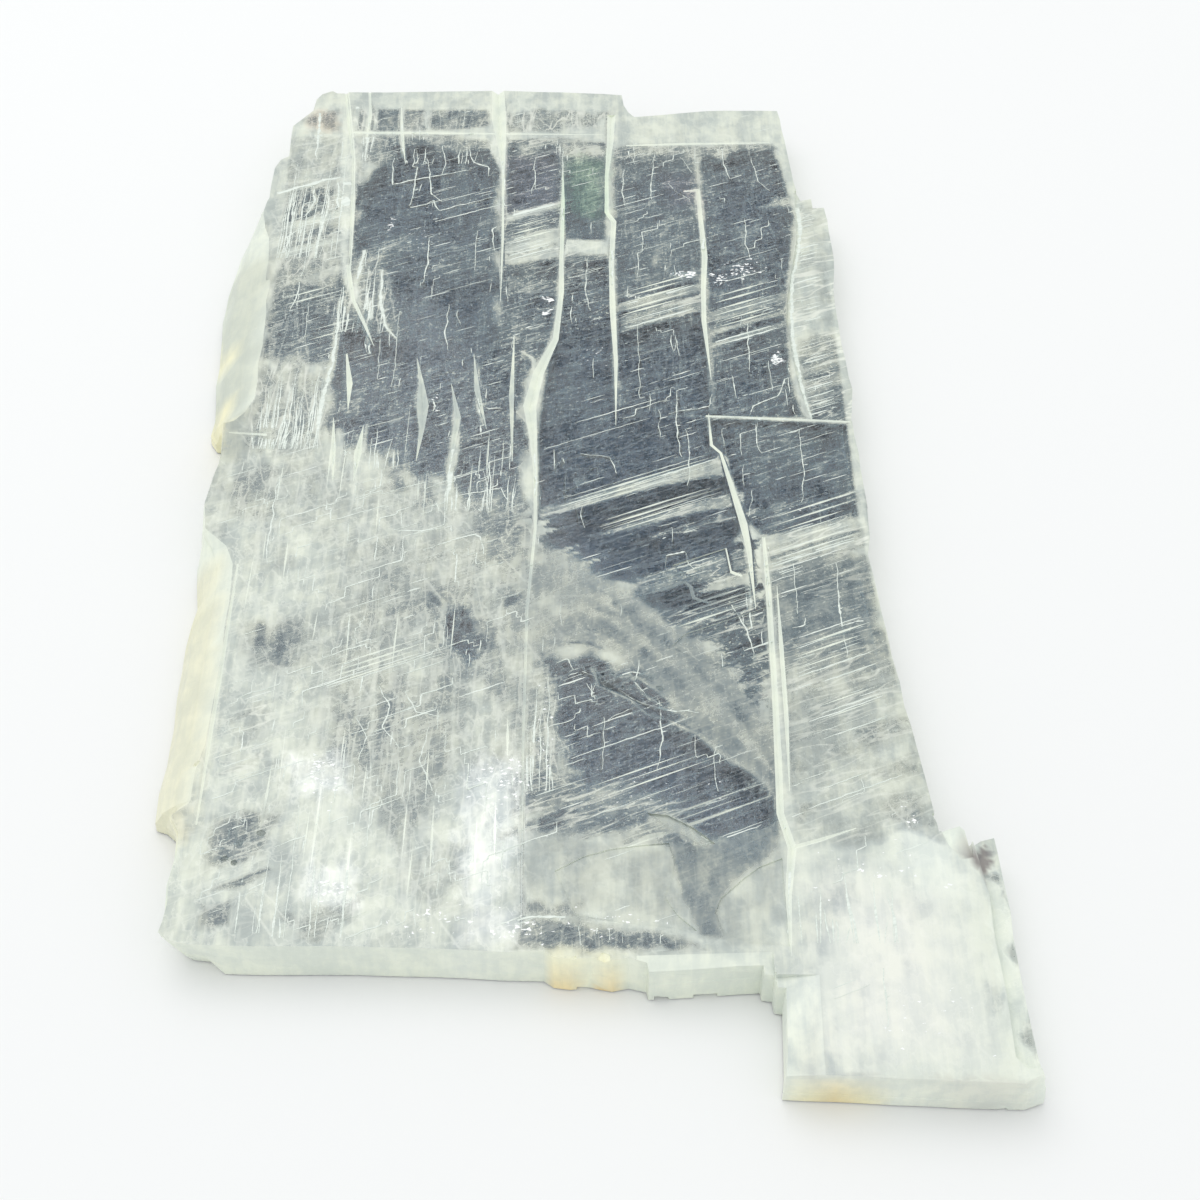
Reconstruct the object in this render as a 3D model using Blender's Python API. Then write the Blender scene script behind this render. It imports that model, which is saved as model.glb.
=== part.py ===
"""A slab of selenite, lying flat: one cleavage plate of a clear gypsum crystal, with stepped broken edges."""

import math
import random

import bmesh
import bpy
from mathutils import Matrix, Vector

# Driving dimensions, in millimetres. X runs to the right, Y away from the viewer, Z up.
MM = 0.001
slab_thickness = 7.4
longest_rim_edge = 4.5
slanted_angle = math.radians(23.8)
crack_lift = 0.04
seed = 21

# Cleavage layers seen on the broken edges: height of each ring of the rim, and the layer it belongs to.
rim_levels = (
    (0.0, 0),
    (1.9, 0),
    (2.05, 1),
    (4.0, 1),
    (4.15, 2),
    (6.0, 2),
    (6.12, 3),
    (slab_thickness, 3),
)

# The rim, counter-clockwise from the far left corner. Each run has the direction that leads into the slab, how far
# its foot and its top edge stand back from the points, how ragged it is, and its points. A third value is that
# point's own set-back at the top.
rim_runs = (
    {
        "inward": (1.0, 0.0), "foot": 0.9, "top": 0.5, "ragged": 0.25,
        "points": (
            (-52.0, 116.2), (-54.0, 115.0), (-55.0, 113.0), (-55.3, 109.0), (-57.5, 105.5), (-58.8, 103.5),
            (-58.8, 99.0), (-58.5, 93.0), (-60.0, 91.8), (-60.9, 89.0), (-61.0, 84.0), (-61.0, 79.0),
        ),
    },
    {
        "inward": (1.0, 0.0), "foot": 0.4, "top": 4.5, "ragged": 0.35,
        "points": (
            (-61.0, 79.0, 0.6), (-63.4, 75.0, 2.6), (-64.5, 70.5, 4.6), (-65.4, 66.0, 7.0), (-66.0, 59.0, 8.4),
            (-66.4, 51.0, 9.2), (-65.8, 39.0, 9.0), (-64.8, 24.5, 8.4), (-64.4, 20.0, 8.0), (-64.6, 16.4, 7.0),
            (-63.4, 14.2, 4.2), (-62.0, 13.6, 1.6),
        ),
    },
    {
        "inward": (1.0, 0.0), "foot": 0.8, "top": 1.2, "ragged": 0.25,
        "points": ((-62.0, 13.6), (-61.4, 7.0), (-62.0, 0.0), (-62.6, -6.0), (-62.4, -12.0)),
    },
    {
        "inward": (1.0, 0.0), "foot": 0.5, "top": 6.0, "ragged": 0.45,
        "points": (
            (-62.4, -12.0, 2.0), (-62.9, -16.0, 6.4), (-62.4, -20.0, 7.4), (-61.7, -25.0, 7.0), (-62.1, -28.5, 7.6),
            (-62.3, -38.0, 8.0), (-62.3, -44.0, 8.0), (-61.9, -50.0, 7.6), (-61.9, -57.0, 7.4), (-62.0, -67.6, 6.8),
            (-60.4, -68.2, 5.0), (-58.6, -70.2, 2.8),
        ),
    },
    {
        "inward": (1.0, 0.0), "foot": 0.8, "top": 0.7, "ragged": 0.35,
        "points": (
            (-58.6, -70.2), (-57.2, -73.0), (-56.9, -77.0), (-57.4, -81.5), (-57.0, -85.5), (-57.4, -88.6),
        ),
    },
    {
        "inward": (0.8, 0.6), "foot": 3.2, "top": 0.3, "ragged": 0.2,
        "points": ((-57.4, -88.6), (-57.0, -90.4), (-55.4, -91.7), (-52.5, -92.2)),
    },
    {
        "inward": (0.0, 1.0), "foot": 0.15, "top": 0.0, "ragged": 0.07,
        "points": (
            (-52.5, -92.2), (-40.0, -92.4), (-30.0, -92.4), (-20.0, -92.7), (-10.0, -93.3), (-4.4, -93.8),
        ),
    },
    {
        "inward": (0.0, 1.0), "foot": 0.3, "top": 0.6, "ragged": 0.3,
        "points": ((-4.4, -93.8), (-3.0, -94.8), (-0.8, -95.1), (2.0, -94.9), (5.0, -95.4), (7.2, -94.9), (9.6, -95.1)),
    },
    {
        "inward": (0.0, 1.0), "foot": 0.0, "top": 0.1, "ragged": 0.06,
        "points": ((9.6, -95.1), (9.9, -96.3), (18.0, -95.8), (25.0, -95.3)),
    },
    {
        "inward": (1.0, 0.0), "foot": 0.0, "top": 0.3, "ragged": 0.1,
        "points": (
            (25.0, -95.3), (25.2, -96.4), (26.6, -96.6), (26.8, -98.4), (27.9, -98.6), (27.7, -104.0), (27.5, -109.0),
            (27.2, -111.8),
        ),
    },
    {
        "inward": (0.0, 1.0), "foot": 0.3, "top": 0.0, "ragged": 0.06,
        "points": ((27.2, -111.8), (34.0, -112.1), (42.0, -112.6), (50.0, -113.0), (58.8, -113.3)),
    },
    {
        "inward": (-1.0, 0.0), "foot": 0.0, "top": 1.1, "ragged": 0.25,
        "points": (
            (58.8, -113.3), (61.4, -112.0), (61.0, -109.0), (60.6, -101.0), (60.4, -95.0), (60.3, -90.0),
            (60.5, -86.0), (60.2, -80.0), (59.8, -73.4),
        ),
    },
    {
        "inward": (0.0, -1.0), "foot": 0.4, "top": 0.0, "ragged": 0.12,
        "points": (
            (59.8, -73.4), (57.2, -74.0), (55.3, -75.4), (55.0, -72.6), (54.4, -71.9), (52.4, -72.6), (51.3, -73.2),
        ),
    },
    {
        "inward": (-1.0, 0.0), "foot": 1.3, "top": 0.0, "ragged": 0.16,
        "points": (
            (51.3, -73.2), (50.8, -68.0), (49.8, -58.0), (48.8, -50.0), (47.6, -35.0), (46.9, -26.0), (46.2, -18.0),
            (46.9, -14.0), (47.1, -6.0), (46.8, 6.0), (46.4, 14.6), (47.3, 23.0), (46.8, 30.0), (46.3, 40.0),
            (46.1, 48.0), (47.0, 60.0), (46.7, 68.0), (46.5, 76.2),
        ),
    },
    {
        "inward": (-1.0, -0.3), "foot": 0.8, "top": 0.0, "ragged": 0.16,
        "points": (
            (46.5, 76.2), (44.2, 76.0), (44.1, 79.0), (42.0, 78.4), (41.3, 81.0), (40.7, 88.0), (40.1, 98.0),
            (39.6, 105.5), (39.1, 108.4),
        ),
    },
    {
        "inward": (0.0, -1.0), "foot": 5.2, "top": 0.0, "ragged": 0.15,
        "points": ((39.1, 108.4), (32.0, 108.5), (25.0, 108.4), (15.0, 106.9), (10.2, 106.3)),
    },
    {
        "inward": (-1.0, -0.4), "foot": 1.6, "top": 0.0, "ragged": 0.1,
        "points": ((10.2, 106.3), (9.0, 108.0), (8.1, 110.5), (7.8, 114.3)),
    },
    {
        "inward": (0.0, -1.0), "foot": 2.6, "top": 0.0, "ragged": 0.12,
        "points": ((7.8, 114.3), (0.0, 115.0), (-17.0, 116.0), (-30.0, 115.6), (-40.0, 115.3), (-50.5, 115.4), (-52.0, 116.2)),
    },
)

# Ledges and flakes split off the top face: how deep each lies, and its outline.
top_ledges = {
    "right_ledge": (0.55, (
        (40.9, 81.0), (40.6, 74.0), (40.2, 65.0), (38.5, 55.0), (37.3, 47.0), (36.8, 40.0), (37.3, 30.0), (38.0, 22.0),
        (39.4, 14.6), (50.0, 13.8), (50.0, 82.0),
    )),
    "far_left_ledge": (0.3, (
        (-48.8, 119.0), (-46.8, 104.0), (-45.2, 92.0), (-44.0, 75.0), (-43.1, 58.0), (-52.0, 54.0), (-68.0, 52.0),
        (-68.0, 119.0),
    )),
    "tab_right_ledge": (1.35, (
        (55.2, -70.0), (56.4, -79.0), (57.0, -84.0), (56.8, -91.0), (57.2, -100.0), (57.1, -109.5), (58.4, -111.2),
        (64.0, -111.0), (64.0, -70.0),
    )),
    "tab_sliver": (0.6, ((50.6, -70.0), (52.4, -75.6), (53.8, -78.0), (55.6, -77.6), (55.8, -70.0))),
    "pane_flake": (0.3, ((14.8, -20.4), (23.4, -16.6), (24.0, -22.0), (19.2, -24.1))),
    "low_pane": (0.18, (
        (14.3, -37.8), (16.5, -35.2), (29.2, -29.6), (29.2, -38.6), (25.8, -40.2), (22.0, -42.0), (18.0, -40.6),
    )),
    "fan_flake": (0.22, (
        (-3.0, -80.0), (1.0, -77.5), (5.0, -76.2), (9.0, -75.6), (13.0, -75.2), (13.8, -78.0), (13.4, -81.5),
        (12.3, -84.5), (14.0, -87.5), (16.5, -90.0), (8.0, -89.0), (0.0, -87.5),
    )),
    "near_flake": (0.26, (
        (19.0, -87.0), (20.0, -84.5), (21.5, -83.0), (23.5, -81.0), (25.5, -79.3), (28.8, -77.8), (28.9, -92.5),
        (24.0, -92.0), (20.0, -90.5),
    )),
    "arrow_flake": (0.4, (
        (10.0, -69.9), (13.0, -70.3), (16.5, -72.5), (19.5, -75.3), (17.8, -75.8), (15.5, -74.0), (12.2, -72.0),
    )),
}

# Open cracks along Y in the top face: points with the half width of the crack at each.
long_cracks = (
    ((-48.9, 116.4, 0.7), (-47.2, 104.0, 0.8), (-45.4, 92.0, 0.6), (-44.2, 75.0, 0.7), (-43.2, 56.0, 0.5),
     (-41.5, 47.0, 0.4), (-38.9, 40.0, 0.35), (-36.8, 34.0, 0.1)),
    ((-43.9, 116.0, 0.3), (-43.0, 106.0, 0.4), (-43.2, 97.0, 0.1)),
    ((-37.0, 110.0, 0.15), (-36.2, 100.0, 0.4), (-34.9, 90.0, 0.1)),
    ((-17.6, 116.6, 1.3), (-17.0, 105.0, 1.5), (-16.1, 95.0, 0.8), (-15.6, 87.0, 0.3), (-15.0, 66.0, 0.3),
     (-14.8, 47.0, 0.1)),
    ((-4.0, 90.0, 0.1), (-3.8, 77.0, 0.4), (-3.9, 60.0, 0.45), (-3.7, 50.0, 0.5), (-4.6, 36.0, 0.6),
     (-7.4, 27.0, 1.0), (-8.8, 18.0, 1.2), (-8.0, 10.0, 0.7), (-7.5, 2.0, 0.4), (-7.2, -12.0, 0.3),
     (-8.1, -30.0, 0.3), (-8.0, -58.0, 0.25), (-7.4, -90.0, 0.1)),
    ((5.6, 107.0, 0.9), (5.3, 97.0, 0.7), (4.6, 86.0, 0.4), (4.6, 74.0, 0.5), (5.9, 71.0, 0.6), (5.4, 58.0, 0.5),
     (5.6, 44.0, 0.6), (6.1, 30.0, 0.4), (6.0, 13.0, 0.1)),
    ((19.4, 80.8, 0.3), (22.2, 81.2, 0.6), (22.8, 60.0, 0.6), (22.2, 50.0, 0.5), (22.0, 41.0, 0.5), (22.7, 25.0, 0.1)),
    ((21.9, 16.0, 0.1), (22.1, 8.0, 0.35), (23.6, 6.0, 0.3), (25.2, -3.0, 0.5), (26.6, -11.0, 0.7), (27.2, -17.0, 0.5),
     (27.6, -30.0, 0.1)),
    ((29.7, -14.0, 0.3), (29.8, -26.0, 0.5), (29.6, -45.0, 0.5), (29.3, -60.0, 0.6), (29.0, -70.0, 0.6),
     (30.3, -76.0, 0.7), (29.3, -84.0, 0.5), (29.0, -94.0, 0.2)),
    ((31.2, -25.0, 0.1), (31.1, -38.0, 0.4), (31.0, -52.0, 0.4), (30.6, -66.0, 0.1)),
    ((-41.5, 32.0, 0.2), (-40.3, 24.0, 0.6), (-40.0, 17.0, 0.1)),
    ((-29.0, 31.0, 0.1), (-27.8, 24.0, 0.5), (-27.2, 18.0, 1.1), (-27.0, 12.0, 0.5), (-27.5, 4.0, 0.1)),
    ((-22.6, 24.0, 0.1), (-21.0, 15.0, 0.6), (-21.6, 5.0, 0.3), (-22.0, -1.0, 0.1)),
    ((-19.0, 32.0, 0.1), (-18.0, 22.0, 0.55), (-16.0, 12.0, 0.1)),
    ((-12.0, 37.0, 0.1), (-12.0, 21.0, 0.5), (-11.4, 4.0, 0.15)),
    ((-37.0, 13.0, 0.1), (-37.4, 6.0, 0.7), (-37.6, -1.0, 0.1)),
    ((-42.3, 15.0, 0.1), (-41.6, 7.0, 0.5), (-41.0, -1.0, 0.1)),
    ((-54.4, -20.0, 0.2), (-54.2, -45.0, 0.4), (-54.0, -72.0, 0.2)),
)

# Cracks with no set direction: seams, hooks and scallops.
other_cracks = (
    ((-58.0, 101.0, 0.3), (-40.0, 100.7, 0.45), (-20.0, 100.4, 0.35), (4.0, 100.0, 0.15)),
    ((8.5, 96.2, 0.3), (20.0, 96.8, 0.45), (37.0, 97.2, 0.2)),
    ((21.4, 15.4, 0.3), (33.0, 14.7, 0.35), (46.0, 13.9, 0.25)),
    ((-59.8, 11.2, 0.25), (-53.2, 10.6, 0.35)),
    ((10.0, -26.9, 0.15), (14.8, -25.0, 0.3), (16.6, -24.0, 0.4), (17.6, -25.2, 0.4), (18.0, -27.6, 0.4),
     (20.2, -28.6, 0.3), (21.8, -28.0, 0.1)),
    ((23.5, -16.6, 0.2), (23.9, -21.8, 0.45), (25.8, -22.8, 0.3)),
    ((30.4, -76.0, 0.4), (34.0, -74.8, 0.4), (39.6, -72.6, 0.15)),
    ((2.2, -42.4, 0.2), (3.6, -45.4, 0.7), (7.8, -48.0, 0.5), (11.6, -51.0, 0.25), (17.0, -54.5, 0.1)),
)

# Fibrous bands along the slanted cleavage: start, length along X, width across and number of fibres.
slanted_bands = (
    (6.2, 42.2, 15.6, 6.6, 5),
    (22.9, 38.6, 13.8, 9.0, 6),
    (-14.4, 62.4, 10.4, 6.2, 4),
    (-55.0, 66.8, 9.6, 5.0, 3),
    (-55.2, 44.8, 9.2, 2.6, 2),
    (-49.8, 35.6, 10.8, 2.2, 2),
    (-4.8, -9.0, 29.0, 2.2, 3),
    (1.8, -14.4, 23.0, 3.2, 4),
    (14.4, -34.0, 14.8, 3.6, 4),
    (30.2, -19.6, 16.0, 9.4, 7),
    (31.2, -43.6, 14.6, 4.8, 3),
    (34.0, -53.6, 13.8, 3.0, 3),
    (0.5, -68.4, 21.0, 2.6, 3),
    (3.0, -77.6, 26.0, 2.8, 3),
    (-51.8, -84.0, 10.0, 2.4, 3),
    (-41.0, -47.0, 19.5, 3.6, 4),
    (38.0, 25.2, 8.2, 26.0, 9),
    (38.6, 54.0, 7.4, 20.0, 7),
)

# Zones with crumbs and pits: centre, spread along X and Y, largest radius, count.
pitted_zones = (
    ((1.2, -94.9), (5.2, 0.7), 1.0, 12),
    ((-60.6, 40.0), (2.0, 18.0), 1.3, 10),
    ((-57.6, -42.0), (2.0, 24.0), 1.3, 12),
    ((58.4, -80.0), (1.2, 5.0), 0.9, 6),
    ((7.4, -46.0), (5.0, 3.5), 0.6, 6),
    ((-47.0, -77.0), (4.0, 4.0), 0.7, 6),
)


def clear_scene():
    """Removes what the file holds at the start."""
    for obj in list(bpy.data.objects):
        bpy.data.objects.remove(obj, do_unlink=True)


def new_collection(name):
    collection = bpy.data.collections.new(name)
    bpy.context.scene.collection.children.link(collection)
    return collection


def selenite_material():
    """Clear, faintly green-grey crystal."""
    material = bpy.data.materials.new("selenite")
    material.use_nodes = True
    shader = material.node_tree.nodes["Principled BSDF"]
    shader.inputs["Base Color"].default_value = (0.72, 0.78, 0.75, 1.0)
    shader.inputs["Roughness"].default_value = 0.12
    shader.inputs["Metallic"].default_value = 0.0
    shader.inputs["IOR"].default_value = 1.52
    shader.inputs["Transmission Weight"].default_value = 0.6
    return material


def object_from(name, data, collection):
    obj = bpy.data.objects.new(name, data)
    collection.objects.link(obj)
    return obj


def mesh_from_bmesh(name, shape):
    bmesh.ops.recalc_face_normals(shape, faces=shape.faces)
    mesh = bpy.data.meshes.new(name)
    shape.to_mesh(mesh)
    shape.free()
    return mesh


def run_points(run, chance):
    """The points of one run, with ragged points added on its long edges: plan position and top set-back."""
    inward = Vector(run["inward"])
    corners = [(Vector(point[:2]), point[2] if len(point) > 2 else run["top"]) for point in run["points"]]
    found = []
    for (here, here_top), (there, there_top) in zip(corners, corners[1:]):
        pieces = max(1, round((there - here).length / longest_rim_edge))
        for step in range(pieces):
            part = step / pieces
            place = here.lerp(there, part)
            if step:
                place = place + inward * chance.uniform(-1.0, 1.0) * run["ragged"]
            found.append((place, here_top + (there_top - here_top) * part))
    return found


def rim_rings():
    """One ring of plan points for each rim level, all with the same number of points."""
    chance = random.Random(seed)
    rim = []
    for number, run in enumerate(rim_runs):
        layers = [chance.uniform(-0.5, 0.5) * min(0.5, run["ragged"] + 0.12) for _ in range(4)]
        before = rim_runs[number - 1]
        for index, (place, top) in enumerate(run_points(run, chance)):
            directions = [(Vector(run["inward"]), run["foot"], top)]
            if index == 0:
                directions.append((Vector(before["inward"]), before["foot"], before["top"]))
            same_way = index == 0 and before["inward"] == run["inward"]
            rim.append((place, directions[:1] if same_way else directions, layers, run["ragged"]))
    rings = []
    for height, layer in rim_levels:
        up = height / slab_thickness
        ring = []
        for place, directions, layers, ragged in rim:
            moved = place.copy()
            for inward, foot, top in directions:
                slope = foot * (1.0 - up) ** 1.2 + top * up ** 2.4
                moved += inward * (slope + layers[layer] + chance.uniform(-0.12, 0.12) * ragged)
            ring.append(moved)
        rings.append(ring)
    return rings


def slab_body(rings):
    """Fills the lowest ring and extrudes it upwards, layer by layer, moving the rim to the next ring each time."""
    shape = bmesh.new()
    order = shape.verts.layers.int.new("rim_order")
    floor_points = []
    for index, place in enumerate(rings[0]):
        point = shape.verts.new((place.x * MM, place.y * MM, 0.0))
        point[order] = index
        floor_points.append(point)
    for index, point in enumerate(floor_points):
        shape.edges.new((floor_points[index - 1], point))
    top_face = bmesh.ops.contextual_create(shape, geom=shape.edges[:])["faces"][0]
    for number, ((height, _), ring) in enumerate(zip(rim_levels[1:], rings[1:])):
        below = top_face
        raised = bmesh.ops.extrude_face_region(shape, geom=[below], use_keep_orig=True)
        for item in raised["geom"]:
            if isinstance(item, bmesh.types.BMVert):
                place = ring[item[order]]
                item.co = Vector((place.x, place.y, height)) * MM
            elif isinstance(item, bmesh.types.BMFace):
                top_face = item
        if number:
            bmesh.ops.delete(shape, geom=[below], context="FACES_ONLY")
    return mesh_from_bmesh("selenite_slab", shape)


def ledge_cutter(name, depth, outline, collection):
    """A flat outline with height, whose underside lies at the ledge's depth below the top face."""
    reach = 1.5
    curve = bpy.data.curves.new(name, "CURVE")
    curve.dimensions = "2D"
    curve.fill_mode = "BOTH"
    curve.extrude = (depth + reach) / 2 * MM
    spline = curve.splines.new("POLY")
    spline.points.add(len(outline) - 1)
    for point, (x, y) in zip(spline.points, outline):
        point.co = (x * MM, y * MM, 0.0, 1.0)
    spline.use_cyclic_u = True
    obj = object_from(name, curve, collection)
    obj.location.z = (slab_thickness - depth + (depth + reach) / 2) * MM
    return meshed(obj, collection)


def crack_cutter(name, cracks, height, flatten, collection):
    """Square rods turned on edge along each crack, thicker where it gapes, centred on a face of the slab."""
    curve = bpy.data.curves.new(name, "CURVE")
    curve.dimensions = "3D"
    curve.bevel_depth = MM
    curve.bevel_resolution = 0
    curve.resolution_u = 1
    curve.twist_mode = "Z_UP"
    curve.use_fill_caps = True
    for crack in cracks:
        spline = curve.splines.new("POLY")
        spline.points.add(len(crack) - 1)
        for point, (x, y, half_width) in zip(spline.points, crack):
            point.co = (x * MM, y * MM, 0.0, 1.0)
            point.radius = half_width
    obj = object_from(name, curve, collection)
    obj.scale.z = flatten
    outside = 1.0 if height > 0 else -1.0
    obj.location.z = (height + outside * crack_lift) * MM
    return meshed(obj, collection)


def meshed(obj, collection):
    """The object as a closed mesh, with its scale applied; the source object is removed."""
    bpy.context.view_layer.update()
    graph = bpy.context.evaluated_depsgraph_get()
    mesh = bpy.data.meshes.new_from_object(obj.evaluated_get(graph))
    mesh.transform(obj.matrix_world)
    name = obj.name
    bpy.data.objects.remove(obj, do_unlink=True)
    shape = bmesh.new()
    shape.from_mesh(mesh)
    bmesh.ops.remove_doubles(shape, verts=shape.verts, dist=0.0005 * MM)
    return object_from(name, mesh_from_bmesh(name, shape), collection)


def slanted_fibres(chance):
    """The fibres of every slanted band, as cracks at the second cleavage angle."""
    rise = math.tan(slanted_angle)
    fibres = []
    for start_x, start_y, length, width, count in slanted_bands:
        spacing = width / (count - 1)
        for number in range(count):
            across = spacing * (number + chance.uniform(-0.15, 0.15))
            first = start_x + chance.uniform(0.0, 0.1) * length
            last = start_x + length * chance.uniform(0.8, 1.0)
            half_width = min(chance.uniform(0.16, 0.34), 0.3 * spacing)
            middle = first + (last - first) * chance.uniform(0.35, 0.65)
            fibres.append(tuple(
                (x, start_y + across + (x - start_x) * rise, thick)
                for x, thick in ((first, 0.07), (middle, half_width), (last, 0.07))
            ))
    return fibres


def scattered_striations(chance):
    """Short straight striations along Y over the milky half of the top face, each in a lane of its own."""
    striations = []
    for lane in range(34):
        x = -52.0 + 1.26 * lane
        y = chance.uniform(-80.0, 26.0)
        length = chance.uniform(8.0, 22.0)
        lean = chance.uniform(-0.4, 0.4)
        last = max(y - length, -91.0)
        striations.append(((x, y, 0.06), (x + lean / 2, (y + last) / 2, chance.uniform(0.14, 0.3)), (x + lean, last, 0.06)))
    return striations


def pit_cutter(chance, collection):
    """Small faceted balls sunk into the top and the edges where the crystal has crumbled, none touching another."""
    shape = bmesh.new()
    taken = []
    for (x, y), (spread_x, spread_y), largest, count in pitted_zones:
        for _ in range(count):
            radius = largest * chance.uniform(0.45, 1.0)
            stretch_x, stretch_y = chance.uniform(0.8, 1.6), chance.uniform(0.8, 1.6)
            reach = radius * max(stretch_x, stretch_y)
            place = Vector((
                x + chance.uniform(-1.0, 1.0) * spread_x,
                y + chance.uniform(-1.0, 1.0) * spread_y,
                slab_thickness + radius * chance.uniform(0.0, 0.5),
            ))
            turn = Matrix.Rotation(chance.uniform(0.0, math.tau), 4, "Z")
            if any((place.xy - other).length < reach + other_reach for other, other_reach in taken):
                continue
            taken.append((place.xy, reach))
            where = Matrix.Translation(place * MM) @ turn @ Matrix.Diagonal((stretch_x, stretch_y, 1.0, 1.0))
            bmesh.ops.create_icosphere(shape, subdivisions=1, radius=radius * MM, matrix=where)
    return object_from("pit_cutter", mesh_from_bmesh("pit_cutter", shape), collection)


def edge_chip_cutter(chance, collection):
    """Turned blocks that nick the lower front edge, the tab's end and the right edge."""
    shape = bmesh.new()
    stretches = (((-48.0, -93.2), (24.0, -96.4), 9), ((28.0, -113.0), (57.0, -114.0), 5), ((47.8, 58.0), (52.4, -66.0), 8))
    for (x0, y0), (x1, y1), count in stretches:
        for number in range(count):
            along = (number + chance.uniform(0.2, 0.8)) / count
            place = Vector((x0 + (x1 - x0) * along, y0 + (y1 - y0) * along, chance.uniform(-0.4, 0.5)))
            turn = Matrix.Rotation(math.radians(chance.uniform(20.0, 70.0)), 4, Vector((x1 - x0, y1 - y0, 0.0)))
            size = Matrix.Diagonal((chance.uniform(1.4, 4.0), chance.uniform(1.2, 2.0), chance.uniform(1.2, 2.0), 1.0))
            twist = Matrix.Rotation(chance.uniform(-0.3, 0.3), 4, "Z")
            bmesh.ops.create_cube(shape, size=MM, matrix=Matrix.Translation(place * MM) @ twist @ turn @ size)
    return object_from("edge_chip_cutter", mesh_from_bmesh("edge_chip_cutter", shape), collection)


def facet_cutter(name, edge_start, edge_end, drop, run, collection):
    """A block whose underside is a sloping facet, falling by drop over run to the right of the line given."""
    start = Vector((*edge_start, slab_thickness))
    end = Vector((*edge_end, slab_thickness))
    along = (end - start).normalized()
    outward = Vector((along.y, -along.x, 0.0))
    fall = (outward * run - Vector((0.0, 0.0, drop))).normalized()
    up = along.cross(fall)
    if up.z < 0:
        up.negate()
    size = 8.0
    centre = (start + end) / 2 + fall * size / 2 + up * size / 2
    axes = Matrix((along * (end - start).length, fall * size, up * size)).transposed().to_4x4()
    shape = bmesh.new()
    bmesh.ops.create_cube(shape, size=1.0, matrix=Matrix.Translation(centre * MM) @ Matrix.Scale(MM, 4) @ axes)
    return object_from(name, mesh_from_bmesh(name, shape), collection)


def cut(body, cutter):
    """Takes the cutter out of the body and keeps it as a hidden guide."""
    modifier = body.modifiers.new(cutter.name, "BOOLEAN")
    modifier.operation = "DIFFERENCE"
    modifier.solver = "EXACT"
    modifier.object = cutter
    cutter.display_type = "WIRE"
    cutter.hide_render = True


def centre_on_origin(rings, objects):
    """Hangs everything on one empty, so that the slab's outer box is centred over the origin."""
    places = [place for ring in rings for place in ring]
    middle_x = (min(place.x for place in places) + max(place.x for place in places)) / 2
    middle_y = (min(place.y for place in places) + max(place.y for place in places)) / 2
    print(f"outer box centred by ({-middle_x:.3f}, {-middle_y:.3f}) mm")
    centre = object_from("slab_centre", None, bpy.context.scene.collection)
    centre.location = (-middle_x * MM, -middle_y * MM, 0.0)
    for obj in objects:
        obj.parent = centre


def main():
    clear_scene()
    parts = new_collection("selenite_slab_parts")
    guides = new_collection("cutters")
    chance = random.Random(seed + 1)

    rings = rim_rings()
    slab = object_from("selenite_slab", slab_body(rings), parts)
    slab.data.materials.append(selenite_material())

    cutters = [ledge_cutter(name, depth, outline, guides) for name, (depth, outline) in top_ledges.items()]
    cutters.append(facet_cutter("tab_left_facet", (32.6, -97.0), (32.2, -116.0), 0.9, 5.6, guides))
    cutters.append(facet_cutter("front_facet", (8.2, -94.0), (26.6, -93.4), 0.7, 2.4, guides))
    cutters.append(crack_cutter("long_cracks", long_cracks, slab_thickness, 0.7, guides))
    cutters.append(crack_cutter("other_cracks", other_cracks, slab_thickness, 0.6, guides))
    cutters.append(crack_cutter("slanted_fibres", slanted_fibres(chance), slab_thickness, 0.5, guides))
    cutters.append(crack_cutter("striations", scattered_striations(chance), slab_thickness, 0.5, guides))
    cutters.append(crack_cutter("floor_cracks", long_cracks[3:9], 0.0, 0.3, guides))
    cutters.append(pit_cutter(chance, guides))
    cutters.append(edge_chip_cutter(chance, guides))
    for cutter in cutters:
        cut(slab, cutter)

    centre_on_origin(rings, [slab] + cutters)


main()
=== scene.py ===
import math

import bmesh
import bpy
import numpy as np
from mathutils.geometry import delaunay_2d_cdt
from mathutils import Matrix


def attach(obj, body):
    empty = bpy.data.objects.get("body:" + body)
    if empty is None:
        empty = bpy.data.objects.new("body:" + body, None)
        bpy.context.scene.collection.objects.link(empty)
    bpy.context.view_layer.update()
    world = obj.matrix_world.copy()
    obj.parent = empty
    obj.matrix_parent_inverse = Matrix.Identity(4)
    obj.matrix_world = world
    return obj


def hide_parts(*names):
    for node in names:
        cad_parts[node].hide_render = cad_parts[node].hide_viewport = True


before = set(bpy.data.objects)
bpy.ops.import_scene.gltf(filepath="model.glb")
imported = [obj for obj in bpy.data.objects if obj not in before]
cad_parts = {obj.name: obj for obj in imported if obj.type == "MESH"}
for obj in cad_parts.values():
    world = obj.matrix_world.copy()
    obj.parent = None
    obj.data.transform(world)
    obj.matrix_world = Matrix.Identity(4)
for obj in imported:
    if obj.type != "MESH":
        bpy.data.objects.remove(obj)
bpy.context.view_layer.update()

# places on the slab are in millimetres from the middle of its outline, x towards the tab's side and y to the
# far end; the frame's own origin is a little off that middle
mm = 0.001
middle = (2.447, -1.392)
thickness = 7.4
slant = math.radians(23.8)      # the second cleavage direction, above x


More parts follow.
